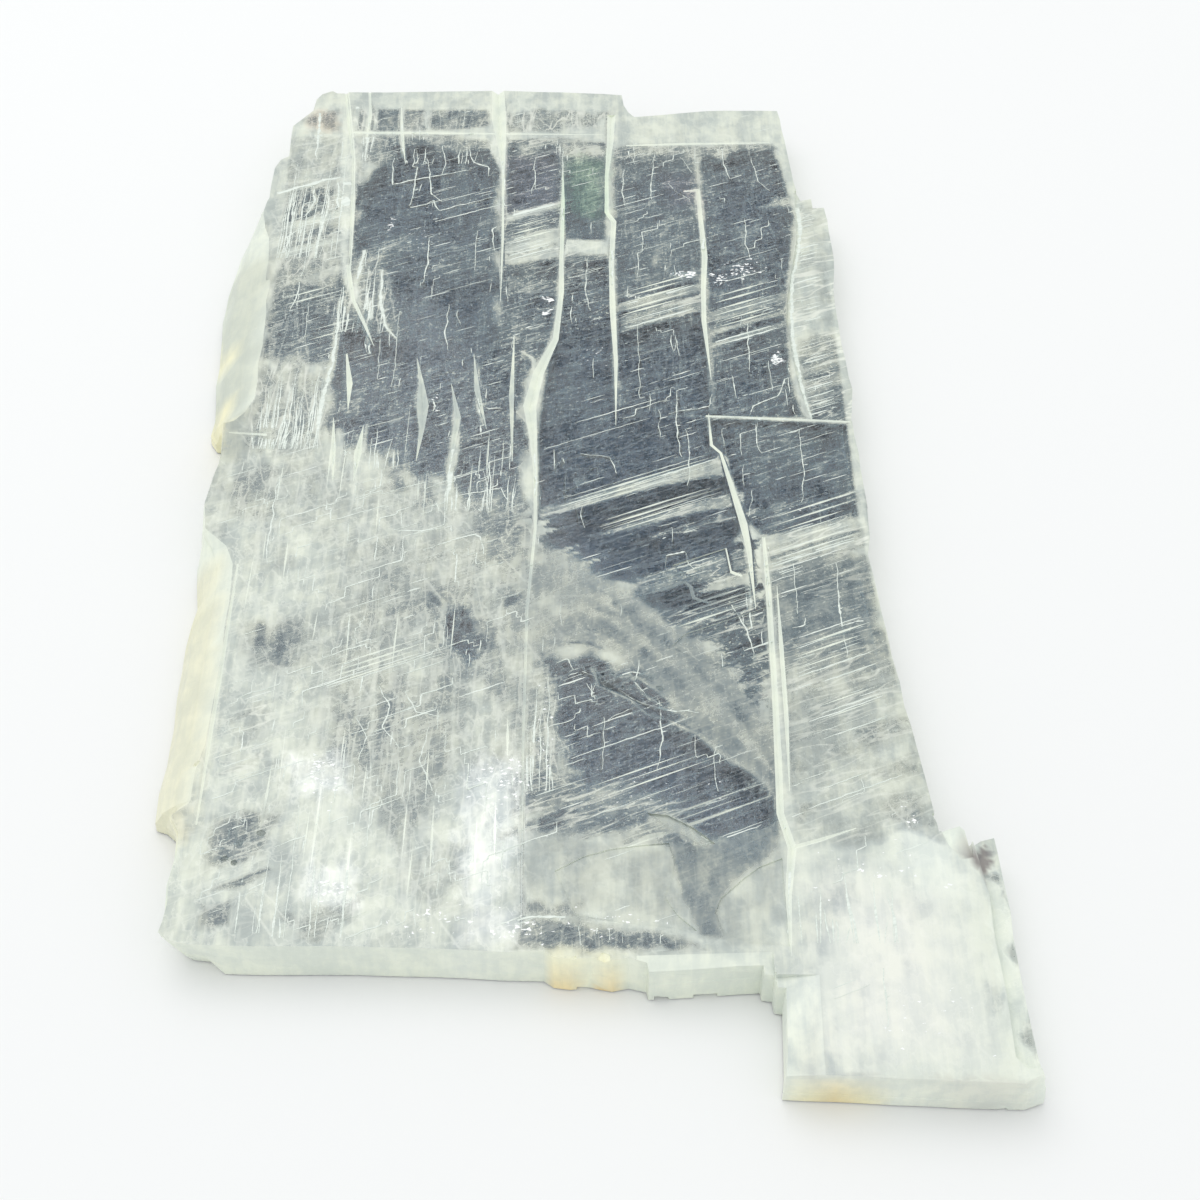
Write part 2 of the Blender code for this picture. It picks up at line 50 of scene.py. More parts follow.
def softNoise(x, y, cell, seed):
    # random values on a lattice of the given cell, eased from node to node; 0 to 1
    lattice = np.random.default_rng(seed).random((256, 256))
    u = x / cell + 1000.37
    v = y / cell + 1000.71
    i = np.floor(u).astype(int)
    j = np.floor(v).astype(int)
    a = u - i
    b = v - j
    a = a * a * (3 - 2 * a)
    b = b * b * (3 - 2 * b)
    near = lattice[i % 256, j % 256] * (1 - a) + lattice[(i + 1) % 256, j % 256] * a
    far = lattice[i % 256, (j + 1) % 256] * (1 - a) + lattice[(i + 1) % 256, (j + 1) % 256] * a
    return near * (1 - b) + far * b


def depthInside(x, y, outline):
    # distance to the nearest edge of the outline, positive inside it and negative outside
    corners = np.asarray(outline, float)
    ends = np.roll(corners, -1, axis=0)
    nearest = np.full(x.shape, 1e9)
    inside = np.zeros(x.shape, bool)
    for (ax, ay), (bx, by) in zip(corners, ends):
        ex = bx - ax
        ey = by - ay
        t = np.clip(((x - ax) * ex + (y - ay) * ey) / (ex * ex + ey * ey), 0, 1)
        nearest = np.minimum(nearest, np.hypot(x - ax - t * ex, y - ay - t * ey))
        if ay != by:
            crosses = (ay > y) != (by > y)
            inside ^= crosses & (x < ax + (y - ay) * ex / ey)
    return np.where(inside, nearest, -nearest)


def strokeShare(x, y, path, softness):
    # 1 inside a line of changing half width, easing to 0 over the softness at its sides and ends
    share = np.zeros(x.shape)
    for (ax, ay, aHalf), (bx, by, bHalf) in zip(path[:-1], path[1:]):
        ex = bx - ax
        ey = by - ay
        t = np.clip(((x - ax) * ex + (y - ay) * ey) / (ex * ex + ey * ey), 0, 1)
        away = np.hypot(x - ax - t * ex, y - ay - t * ey) - (aHalf + (bHalf - aHalf) * t)
        share = np.maximum(share, np.clip(0.5 - away / softness, 0, 1))
    return share * share * (3 - 2 * share)


# where the crystal is clear and where it is milky; later patches lie over earlier ones
# milk from 0, clear, to 1, white; strength of the streaks along the slant and along y; softness in mm;
# how the edge wanders; outline
milkPatches = [
    # far edge and left strip
    (0.58, .4, .4, 1.5, "cloud", [(-60, 99.4), (-44, 99.4), (-44.5, 92), (-44, 57), (-46, 50),
        (-60, 50)]),
    (0.42, .3, .6, 1.2, "cloud", [(-56, 106), (-49.4, 109), (-48.8, 101.6), (-55, 101.6)]),
    (0.44, .2, .9, .6, "clean", [(-46.6, 109), (-37.2, 109), (-36.8, 101.4), (-46.4, 101.4)]),
    (0.28, .2, .5, .5, "clean", [(-41.4, 108.8), (-37.2, 108.8), (-36.8, 101.6), (-41.2, 101.4)]),
    (0.31, .4, .5, .5, "clean", [(-36.2, 108.8), (-19, 108.8), (-18.8, 103.4), (-22, 102.4),
        (-29, 101.6), (-36, 101.6)]),
    (0.46, .3, .9, 1.0, "cloud", [(-15.6, 108.4), (-10, 108.8), (-3, 108), (7, 107.4), (3, 103.4),
        (-9, 102.4), (-15.6, 102.4)]),
    (0.24, .5, .8, 1.0, "cloud", [(-58, 80), (-51, 82.6), (-46.8, 83), (-46.6, 75.4), (-55, 70.8),
        (-58, 73)]),
    (0.38, .6, .8, 1.0, "cloud", [(-55, 68), (-49, 70.4), (-46, 71), (-45.6, 66.8), (-55, 62.8)]),
    (0.52, .5, .8, 1.2, "cloud", [(-56, 60), (-46, 63.6), (-45.4, 57), (-55.8, 52)]),
    (0.66, .6, .4, 1.4, "cloud", [(-57, 98), (-49, 98), (-49, 93.6), (-57, 92)]),
    (0.66, .6, .4, 1.4, "cloud", [(-56.6, 90), (-49, 91), (-49, 86.4), (-56, 84.6)]),
    (0.80, .6, .1, .4, "clean", [(-56, 71.0), (-45.2, 75.4), (-45.2, 73.2), (-56, 68.6)]),
    (0.80, .6, .1, .4, "clean", [(-56, 62.4), (-45, 66.8), (-45, 65.0), (-56, 60.4)]),
    # the great left window
    (0.36, .4, .5, 1.2, "cloud", [(-43, 99.4), (-18.2, 99.4), (-17.4, 91), (-30, 90), (-43, 90)]),
    (0.09, .32, .3, 1.8, "cloud", [(-38.6, 95.6), (-32, 96.4), (-27, 94.8), (-18, 95), (-16.8, 88),
        (-15.6, 84), (-15.2, 60), (-15, 47), (-12, 30), (-11, 20), (-9.5, 12), (-8, -6), (-12, -10),
        (-19, -5), (-25, 0), (-31, 4), (-34, 9), (-42, 12), (-44, 16), (-44.2, 30), (-55.6, 29),
        (-56, 50), (-52, 53), (-46, 51), (-44, 58), (-43.9, 70), (-43.6, 84), (-40, 88)]),
    (0.17, .5, .2, 3.0, "cloud", [(-42, 70), (-30, 67), (-18, 62), (-17, 55), (-32, 51), (-42, 58)]),
    (0.36, .5, 1.0, 3.2, "grain", [(-45, 62), (-40, 60), (-35.5, 52), (-33, 41), (-36, 36), (-40, 41),
        (-44, 48)]),
    (0.24, .5, .5, 1.0, "cloud", [(-55.8, 50), (-46, 52), (-44.6, 46), (-44.8, 31), (-52, 29.5),
        (-55.8, 31)]),
    (0.09, .5, .35, 3.0, "grain", [(-43.5, 30), (-12, 31), (-10, 18), (-9, 8), (-12, 2), (-20, 4),
        (-30, 6), (-43, 12)]),
    (0.50, .3, 1.1, 1.6, "grain", [(-55.4, 30), (-50, 30), (-45, 26), (-44.3, 12), (-43, 5), (-57, 5)]),
    # panes between the long cracks
    (0.15, .5, .2, .5, "clean", [(-14.9, 98), (-4.6, 98), (-4.2, 77.6), (-14.8, 73)]),
    (0.36, .9, .2, .8, "slant", [(-14.9, 98), (-4.6, 98), (-4.6, 94.6), (-14.9, 93.4)]),
    (0.74, .8, .1, .3, "clean", [(-14.9, 73.1), (-4, 77.9), (-4, 75.9), (-14.9, 71.1)]),
    (0.24, .8, .2, .4, "clean", [(-14.8, 70.8), (-4.2, 75.6), (-4.2, 69.4), (-14.8, 65.4)]),
    (0.72, 1.4, .1, .3, "clean", [(-15.1, 65.4), (-4.2, 69.5), (-4, 60.6), (-14.9, 58.2)]),
    (0.15, .3, .2, .6, "clean", [(-4.0, 97), (4.4, 97.4), (4.4, 65), (-3.5, 65)]),
    (0.33, .3, .2, 3.0, "cloud", [(-4.0, 95), (4.4, 95), (4.6, 74), (0, 73), (-4, 76)]),
    (0.50, .6, .4, 1.6, "cloud", [(-5, 98.6), (5, 98.6), (5, 94.4), (0, 93), (-5, 93.6)]),
    (0.14, .6, .3, .8, "clean", [(-14.9, 57.6), (-4.4, 60), (-4.3, 50), (-5.2, 36), (-8, 28.5),
        (-12, 22), (-14.6, 36)]),
    (0.10, .6, .3, .6, "clean", [(-3.4, 60.4), (5, 60.6), (5.6, 44), (5.6, 36), (-4.2, 34)]),
    (0.04, .35, .2, .6, "clean", [(-4.2, 37), (5.6, 40), (6, 16), (22, 15), (46, 13.5), (46.4, 0),
        (47, -9), (30, -15), (26, -8), (24, 5), (-6.8, -8), (-7.2, 10), (-6, 30)]),
    (0.86, .4, .2, .4, "clean", [(-4, 65.6), (9.6, 64.7), (9.4, 64.0), (6, 62.6), (5, 61.2),
        (-4, 60.6)]),
    (0.36, .9, .2, .8, "slant", [(-3.6, 60.8), (5, 61.2), (10, 62.4), (6, 59.6), (-3.6, 58)]),
    (0.21, .4, .3, .6, "clean", [(5.9, 93), (22.2, 95), (22.4, 52), (6.2, 46)]),
    (0.04, .32, .3, .6, "clean", [(6.2, 47.6), (22.3, 53.6), (22.6, 15.2), (6.4, 15.4)]),
    (0.15, .4, .2, 2.5, "cloud", [(27, 12), (46, 12), (47, -9), (30, -14)]),
    (0.11, .4, .3, .6, "clean", [(22.9, 95), (37.4, 95.6), (38.4, 90), (39.6, 82), (40.4, 74), (39, 62),
        (37.5, 50), (36.6, 36), (36.6, 25), (38, 15), (22.9, 15.2)]),
    (0.44, .7, .5, 1.4, "cloud", [(6, 97), (37.6, 97), (37.6, 94), (28, 93), (18, 93.6), (6, 91)]),
    (0.60, .8, .2, 1.2, "slant", [(33, 75.2), (40.4, 81), (40.4, 75.6)]),
    # fibre bands of the right half
    (0.50, .35, .1, .25, "clean", [(6.3, 43.2), (22.2, 49.9), (22.3, 52.6), (6.3, 45.9)]),
    (0.40, .8, .1, .25, "clean", [(7.0, 37.8), (22.2, 44.4), (22.2, 49.1), (7.0, 42.5)]),
    (0.46, .45, .1, .25, "clean", [(22.9, 40.9), (37.2, 47.0), (37.4, 49.7), (22.9, 43.5)]),
    (0.24, 1.4, .1, .3, "clean", [(22.9, 38.6), (37.1, 44.9), (37.1, 47.0), (22.9, 40.9)]),
    (0.50, .5, .1, .25, "clean", [(22.9, 37.0), (37.1, 43.4), (37.1, 44.5), (22.9, 38.3)]),
    (0.42, .7, .1, .25, "clean", [(22.9, 33.4), (37.0, 39.7), (37.0, 41.3), (22.9, 34.9)]),
    (0.0, .3, .1, .8, "slant", [(-6.8, -8.6), (24.5, 4.6), (27.2, -12), (29.4, -26), (29.6, -50),
        (25, -45), (18, -37), (11, -29.5), (3, -22), (-6, -17)]),
    (0.10, .9, .1, 1.0, "slant", [(13, -31), (24, -27.4), (29.4, -26), (29.6, -50), (25, -45),
        (18, -37)]),
    (0.54, .7, .1, .3, "clean", [(-6.4, -9.8), (-6.2, -8.7), (24.6, 5.2), (25, 1.0), (18, -.6),
        (10, -3.2), (2, -6.4)]),
    (0.48, .8, .1, .4, "clean", [(1, -14.2), (16, -7.4), (17, -6.2), (26.8, -3.4), (27, -6.4),
        (18, -8.6), (8, -12.2)]),
    (0.22, 1.4, .1, .6, "slant", [(12, -13.4), (26.8, -7.2), (26.8, -9.4), (14, -14.4)]),
    (0.30, 1.0, .1, .3, "clean", [(9, -23.4), (23.6, -17.2), (23.8, -22.4), (22, -23.6), (10, -26.6)]),
    (0.30, 1.4, .1, .4, "slant", [(13, -33.6), (24, -28.8), (28.6, -27), (28.6, -28.4), (23, -30.4),
        (15, -34.4)]),
    (0.58, 1.1, .1, .3, "clean", [(22.6, -22.8), (26.8, -22.2), (29.4, -20.2), (29.4, -14.0),
        (38, -11.2), (46.4, -8.6), (46.8, -16.4), (38, -19.4), (30, -23.2), (26, -25), (18, -27)]),
    (0.26, 1.2, .1, .3, "clean", [(30.6, -18.4), (46.4, -11.6), (46.4, -12.4), (38, -15.8),
        (30.6, -19.4)]),
    (0.30, 1.2, .1, .3, "clean", [(24.2, -17.2), (26.8, -16.6), (26.8, -21.6), (24.4, -21.8)]),
    # right ledge and right strip
    (0.74, .8, .1, .5, "clean", [(41, 80), (47.6, 80), (47.6, 36), (37.8, 36), (37.8, 45), (38.5, 52),
        (40, 62), (41.2, 72)]),
    (0.47, 1.0, .1, 2.0, "clean", [(37.8, 36), (47.6, 40), (47.6, 14.4), (39.6, 14.4), (38.6, 24)]),
    (0.34, 1.2, .1, .5, "clean", [(38, 30.6), (46, 34.2), (46, 32.4), (38.2, 29)]),
    (0.36, 1.2, .1, .5, "clean", [(38.4, 26.6), (46, 30), (46, 28), (38.4, 24.8)]),
    (0.26, 1.2, .1, .5, "clean", [(39, 21.0), (46, 24.2), (46, 14.4), (39.6, 14.4)]),
    (0.60, .8, .1, .3, "clean", [(39, 20.4), (45.6, 23.4), (45.6, 22.4), (39.2, 19.4)]),
    (0.52, .8, .1, .3, "clean", [(39, 18.2), (45.6, 21.2), (45.6, 20.6), (39.2, 17.6)]),
    (0.40, .4, .1, 2.0, "cloud", [(30.6, -23), (46.9, -16.8), (48.5, -40), (49, -49), (30.6, -46)]),
    (0.32, .5, .1, 3.0, "cloud", [(32, -21.6), (46.6, -17.4), (46.8, -26), (36, -28)]),
    (0.54, .7, .1, 5.0, "slant", [(29.9, -42), (48.6, -37), (52, -60), (29.9, -60)]),
    (0.72, .5, .1, 5.0, "slant", [(29.9, -52), (49.6, -47), (53, -66), (55, -78), (29.9, -80)]),
    (0.48, .6, .2, .8, "slant", [(41, -54.4), (49, -51.4), (49.4, -54.6), (42, -57.6)]),
    (0.54, .6, .2, .8, "slant", [(43.4, -61), (50, -58.6), (50.4, -62), (44, -64)]),
    (0.44, .4, .3, 1.2, "cloud", [(42.6, -67), (47, -66), (49.4, -70), (47.5, -74), (44, -72)]),
    (0.50, .4, .3, .8, "cloud", [(32.6, -70), (34.6, -69), (34.8, -72), (33, -73)]),
    # the milky field
    (0.70, .35, .4, 6.0, "cloud", [(-64, 8), (-40, 6), (-30, 0), (-18, -5), (-7.5, -12), (-7, -98),
        (-64, -98)]),
    (0.70, .4, .4, 3.0, "cloud", [(-46, 4), (-36, 2), (-28, -6), (-22, -10), (-30, -20), (-44, -24)]),
    (0.86, .3, .3, 3.0, "cloud", [(-56, -10), (-50, -12), (-42, -14), (-40, -28), (-42, -60),
        (-43, -98), (-60, -98)]),
    (0.52, .3, .6, .8, "frayed", [(-56.6, 3), (-49.6, 2.6), (-49.6, -10), (-57, -10)]),
    (0.74, .3, .4, 1.0, "cloud", [(-53.4, -14), (-47, -14), (-46.6, -20), (-53, -21)]),
    (0.26, .4, .5, 1.6, "frayed", [(-33.8, 7), (-29.2, 6), (-29, -2.6), (-31.6, -3.4)]),
    (0.42, .4, .5, 1.4, "frayed", [(-27.8, -1), (-24.6, -2), (-24.6, -7), (-27, -7)]),
    (0.38, .4, .6, 2.0, "cloud", [(-20, -4), (-13, -2.6), (-8, -4), (-7.6, -22), (-14, -20),
        (-17, -12)]),
    (0.60, .4, .4, 2.0, "cloud", [(-33, -14), (-24, -18), (-16, -15), (-15, -22), (-24, -25),
        (-32, -22)]),
    (0.53, .4, .5, 3.0, "grain", [(-36, -29), (-24, -25), (-9, -24), (-8, -58), (-20, -62), (-24, -72),
        (-31, -66), (-37, -54), (-36, -44)]),
    (0.70, .4, .4, 2.0, "cloud", [(-31, -32), (-24, -31), (-22, -43), (-30, -44)]),
    (0.74, .3, .5, 2.0, "cloud", [(-18, -46), (-9.4, -44), (-9, -58), (-17, -60)]),
    (0.42, .4, .6, 1.6, "frayed", [(-35, -46), (-29, -45), (-26, -52), (-30, -59), (-35.6, -59)]),
    (0.86, .25, .3, 4.0, "cloud", [(-44, -64), (-32, -63), (-28, -74), (-22, -74), (-18, -65),
        (-8, -62), (-7, -98), (-46, -98)]),
    (0.13, .3, .4, 1.2, "frayed", [(-21, -31), (-17.5, -29.4), (-14.5, -32), (-13.4, -37.5),
        (-16, -41.4), (-20.8, -37.4)]),
    (0.20, .3, .2, .8, "frayed", [(-14.6, -33.5), (-12, -34), (-12.5, -38), (-14.5, -38)]),
    (0.20, .3, .2, .8, "frayed", [(-12.8, -26.4), (-9.4, -25.8), (-9.4, -28.4), (-12, -28.8)]),
    (0.28, .3, .3, .8, "frayed", [(-23.8, -25.6), (-20.8, -25.8), (-20.6, -29.4), (-23.6, -29.8)]),
    (0.56, .4, .4, 2.5, "cloud", [(-52.4, -33), (-41, -34), (-39.6, -41), (-44, -43.5), (-50, -41)]),
    (0.26, .3, .3, .8, "frayed", [(-49.8, -33.6), (-48.0, -34), (-47.2, -38.4), (-49.2, -37.6)]),
    (0.32, .3, .3, 1.0, "frayed", [(-47.6, -36.6), (-45, -36), (-43.4, -39), (-45, -42), (-47.4, -41)]),
    (0.70, .9, .3, 1.0, "slant", [(-51.4, -50), (-46.4, -49), (-46.2, -64), (-51, -64)]),
    (0.44, .7, .4, 1.2, "frayed", [(-51.6, -72), (-46, -70), (-43.4, -71), (-43.6, -76), (-45, -79),
        (-51.8, -79.6)]),
    (0.28, .8, .1, .4, "clean", [(-50, -82.8), (-42.5, -79.3), (-42.6, -80.4), (-47, -83)]),
    (0.42, .5, .3, .8, "frayed", [(-51.4, -86), (-47, -85), (-47, -88.6), (-50, -89.4)]),
    (0.60, .4, .5, .6, "cloud", [(-38, -87), (-30.6, -86.6), (-31, -90.8), (-38, -91)]),
    (0.84, .4, .4, 1.6, "cloud", [(-25, -76), (-15, -75), (-15, -90), (-24, -90)]),
    (0.74, .3, .3, .8, "frayed", [(-57.6, -9), (-54, -9), (-54, -11.6), (-61, -12)]),
    (0.68, .4, .5, .8, "frayed", [(-24, -75), (-15.4, -75), (-15.4, -83), (-19, -87), (-24, -84)]),
    (0.62, .3, .4, 1.4, "frayed", [(-38.6, -12.5), (-34.6, -14), (-34, -20), (-37, -22), (-39, -18)]),
    (0.58, .5, .5, 1.0, "frayed", [(-33, -45), (-30.5, -42), (-29.5, -46), (-31, -52), (-34, -50)]),
    (0.52, .4, .6, 1.4, "frayed", [(-15.6, -41), (-12, -40), (-9.6, -44), (-10, -50), (-13.6, -49)]),
    (0.56, .4, .4, 1.0, "frayed", [(-23, -51), (-20, -50), (-19.4, -57), (-22.4, -60)]),
    (0.56, .3, .5, 1.2, "frayed", [(-29.6, -60), (-25, -60), (-22.6, -70), (-25, -76), (-28.6, -70)]),
    (0.54, .4, .6, 1.0, "frayed", [(-9.6, -44), (-7.8, -44), (-7.6, -56), (-9.6, -57)]),
    # the cloud that bends across the middle, and the windows below it
    (0.34, .25, .15, 3.5, "cloud", [(-7.6, -17), (0, -19.5), (8, -26), (14, -33), (20, -40), (26, -48),
        (29.4, -55), (29.4, -68), (24, -60), (18, -54), (12, -46), (4, -40), (-7.6, -38.5)]),
    (0.62, .2, .15, 4.5, "cloud", [(-8, -19), (-3, -19), (1, -24), (2, -30), (-2, -35), (-8, -37)]),
    (0.42, .25, .15, 3.5, "cloud", [(11, -38), (16, -38), (22, -46), (27, -55), (29, -64), (24, -60),
        (18, -53), (13, -46)]),
    (0.03, .4, .2, 1.6, "frayed", [(-5.5, -39), (-1, -40.6), (2, -39.6), (5, -42.4), (9, -42.6),
        (13, -49), (18, -55), (22, -59.6), (26, -63), (28.6, -67), (28.6, -74), (14, -76), (8, -69),
        (0, -66), (-2, -60), (-4, -54), (-6, -48)]),
    (0.50, .4, .8, 2.0, "grain", [(-8, -42), (-5.4, -42), (-3, -52), (-1.6, -62), (-3, -68),
        (-8, -68)]),
    (0.29, .8, .1, 2.0, "slant", [(-7, -61), (2, -64), (10, -66.6), (14, -69.6), (12, -75), (-7, -74)]),
    (0.72, .12, .12, .6, "clean", [(-7, -73), (3, -75.4), (13.2, -76.4), (13.8, -80), (14, -83),
        (16.4, -90.6), (13, -88.4), (8, -87), (-7, -86)]),
    (0.72, .1, .1, .6, "clean", [(28.9, -75.8), (27.2, -77.8), (24.2, -79.8), (20.6, -84.2),
        (19.2, -88), (20.2, -92.4), (28.9, -92.4)]),
    (0.52, .3, .2, .5, "clean", [(10, -69.5), (13, -70), (19.5, -74.5), (18, -76), (15, -74),
        (10, -72.5)]),
    (0.40, .1, .1, .5, "clean", [(13.4, -75.4), (19, -76), (29, -71.6), (28.8, -75), (27, -77.6),
        (24, -79.5), (20.4, -84), (19, -88), (20, -91), (16.8, -91), (16, -88), (14.6, -84),
        (13.8, -80)]),
    (0.30, .12, .1, 2.6, "clean", [(14.4, -74.6), (19, -75), (28.6, -71.6), (28.4, -74.6),
        (26.6, -77.4), (22.6, -80), (16, -79)]),
    (0.24, .3, .4, .9, "frayed", [(-8, -89.4), (-3, -88), (3, -88.4), (7, -89.8), (12, -90.6),
        (16.4, -92.8), (-8, -92.8)]),
    (0.36, .3, .3, .6, "frayed", [(-8, -85.6), (0, -85.4), (1, -87.6), (-8, -87.8)]),
    # tab
    (0.96, .08, .10, 1.0, "cloud", [(29.5, -76), (54, -74), (60, -76), (62, -120), (24, -120),
        (27, -96)]),
    (0.86, .1, .1, 3.0, "cloud", [(29.8, -77), (38, -76), (41, -80), (36, -88), (30, -95)]),
    (0.88, .1, .1, 3.0, "cloud", [(25, -88), (29.8, -90), (32, -100), (32.4, -114), (25, -114)]),
    (0.97, .2, .2, 1.0, "cloud", [(56.2, -78), (60.4, -78), (60.4, -112), (57, -112)]),
    (0.46, .3, .3, .6, "cloud", [(57, -80), (58.6, -80), (59, -84), (57.4, -83)]),
    (0.52, .3, .3, .6, "cloud", [(57.4, -89), (58.8, -90), (58.8, -95), (57.6, -94)]),
    (0.52, .3, .3, .6, "cloud", [(57, -103), (58.6, -102), (59, -108), (57.2, -109)]),
    (0.84, .2, .2, 1.0, "cloud", [(53, -97), (54.6, -97), (54.4, -104), (53, -103)]),
]
milkElsewhere = (0.86, .1, .15)

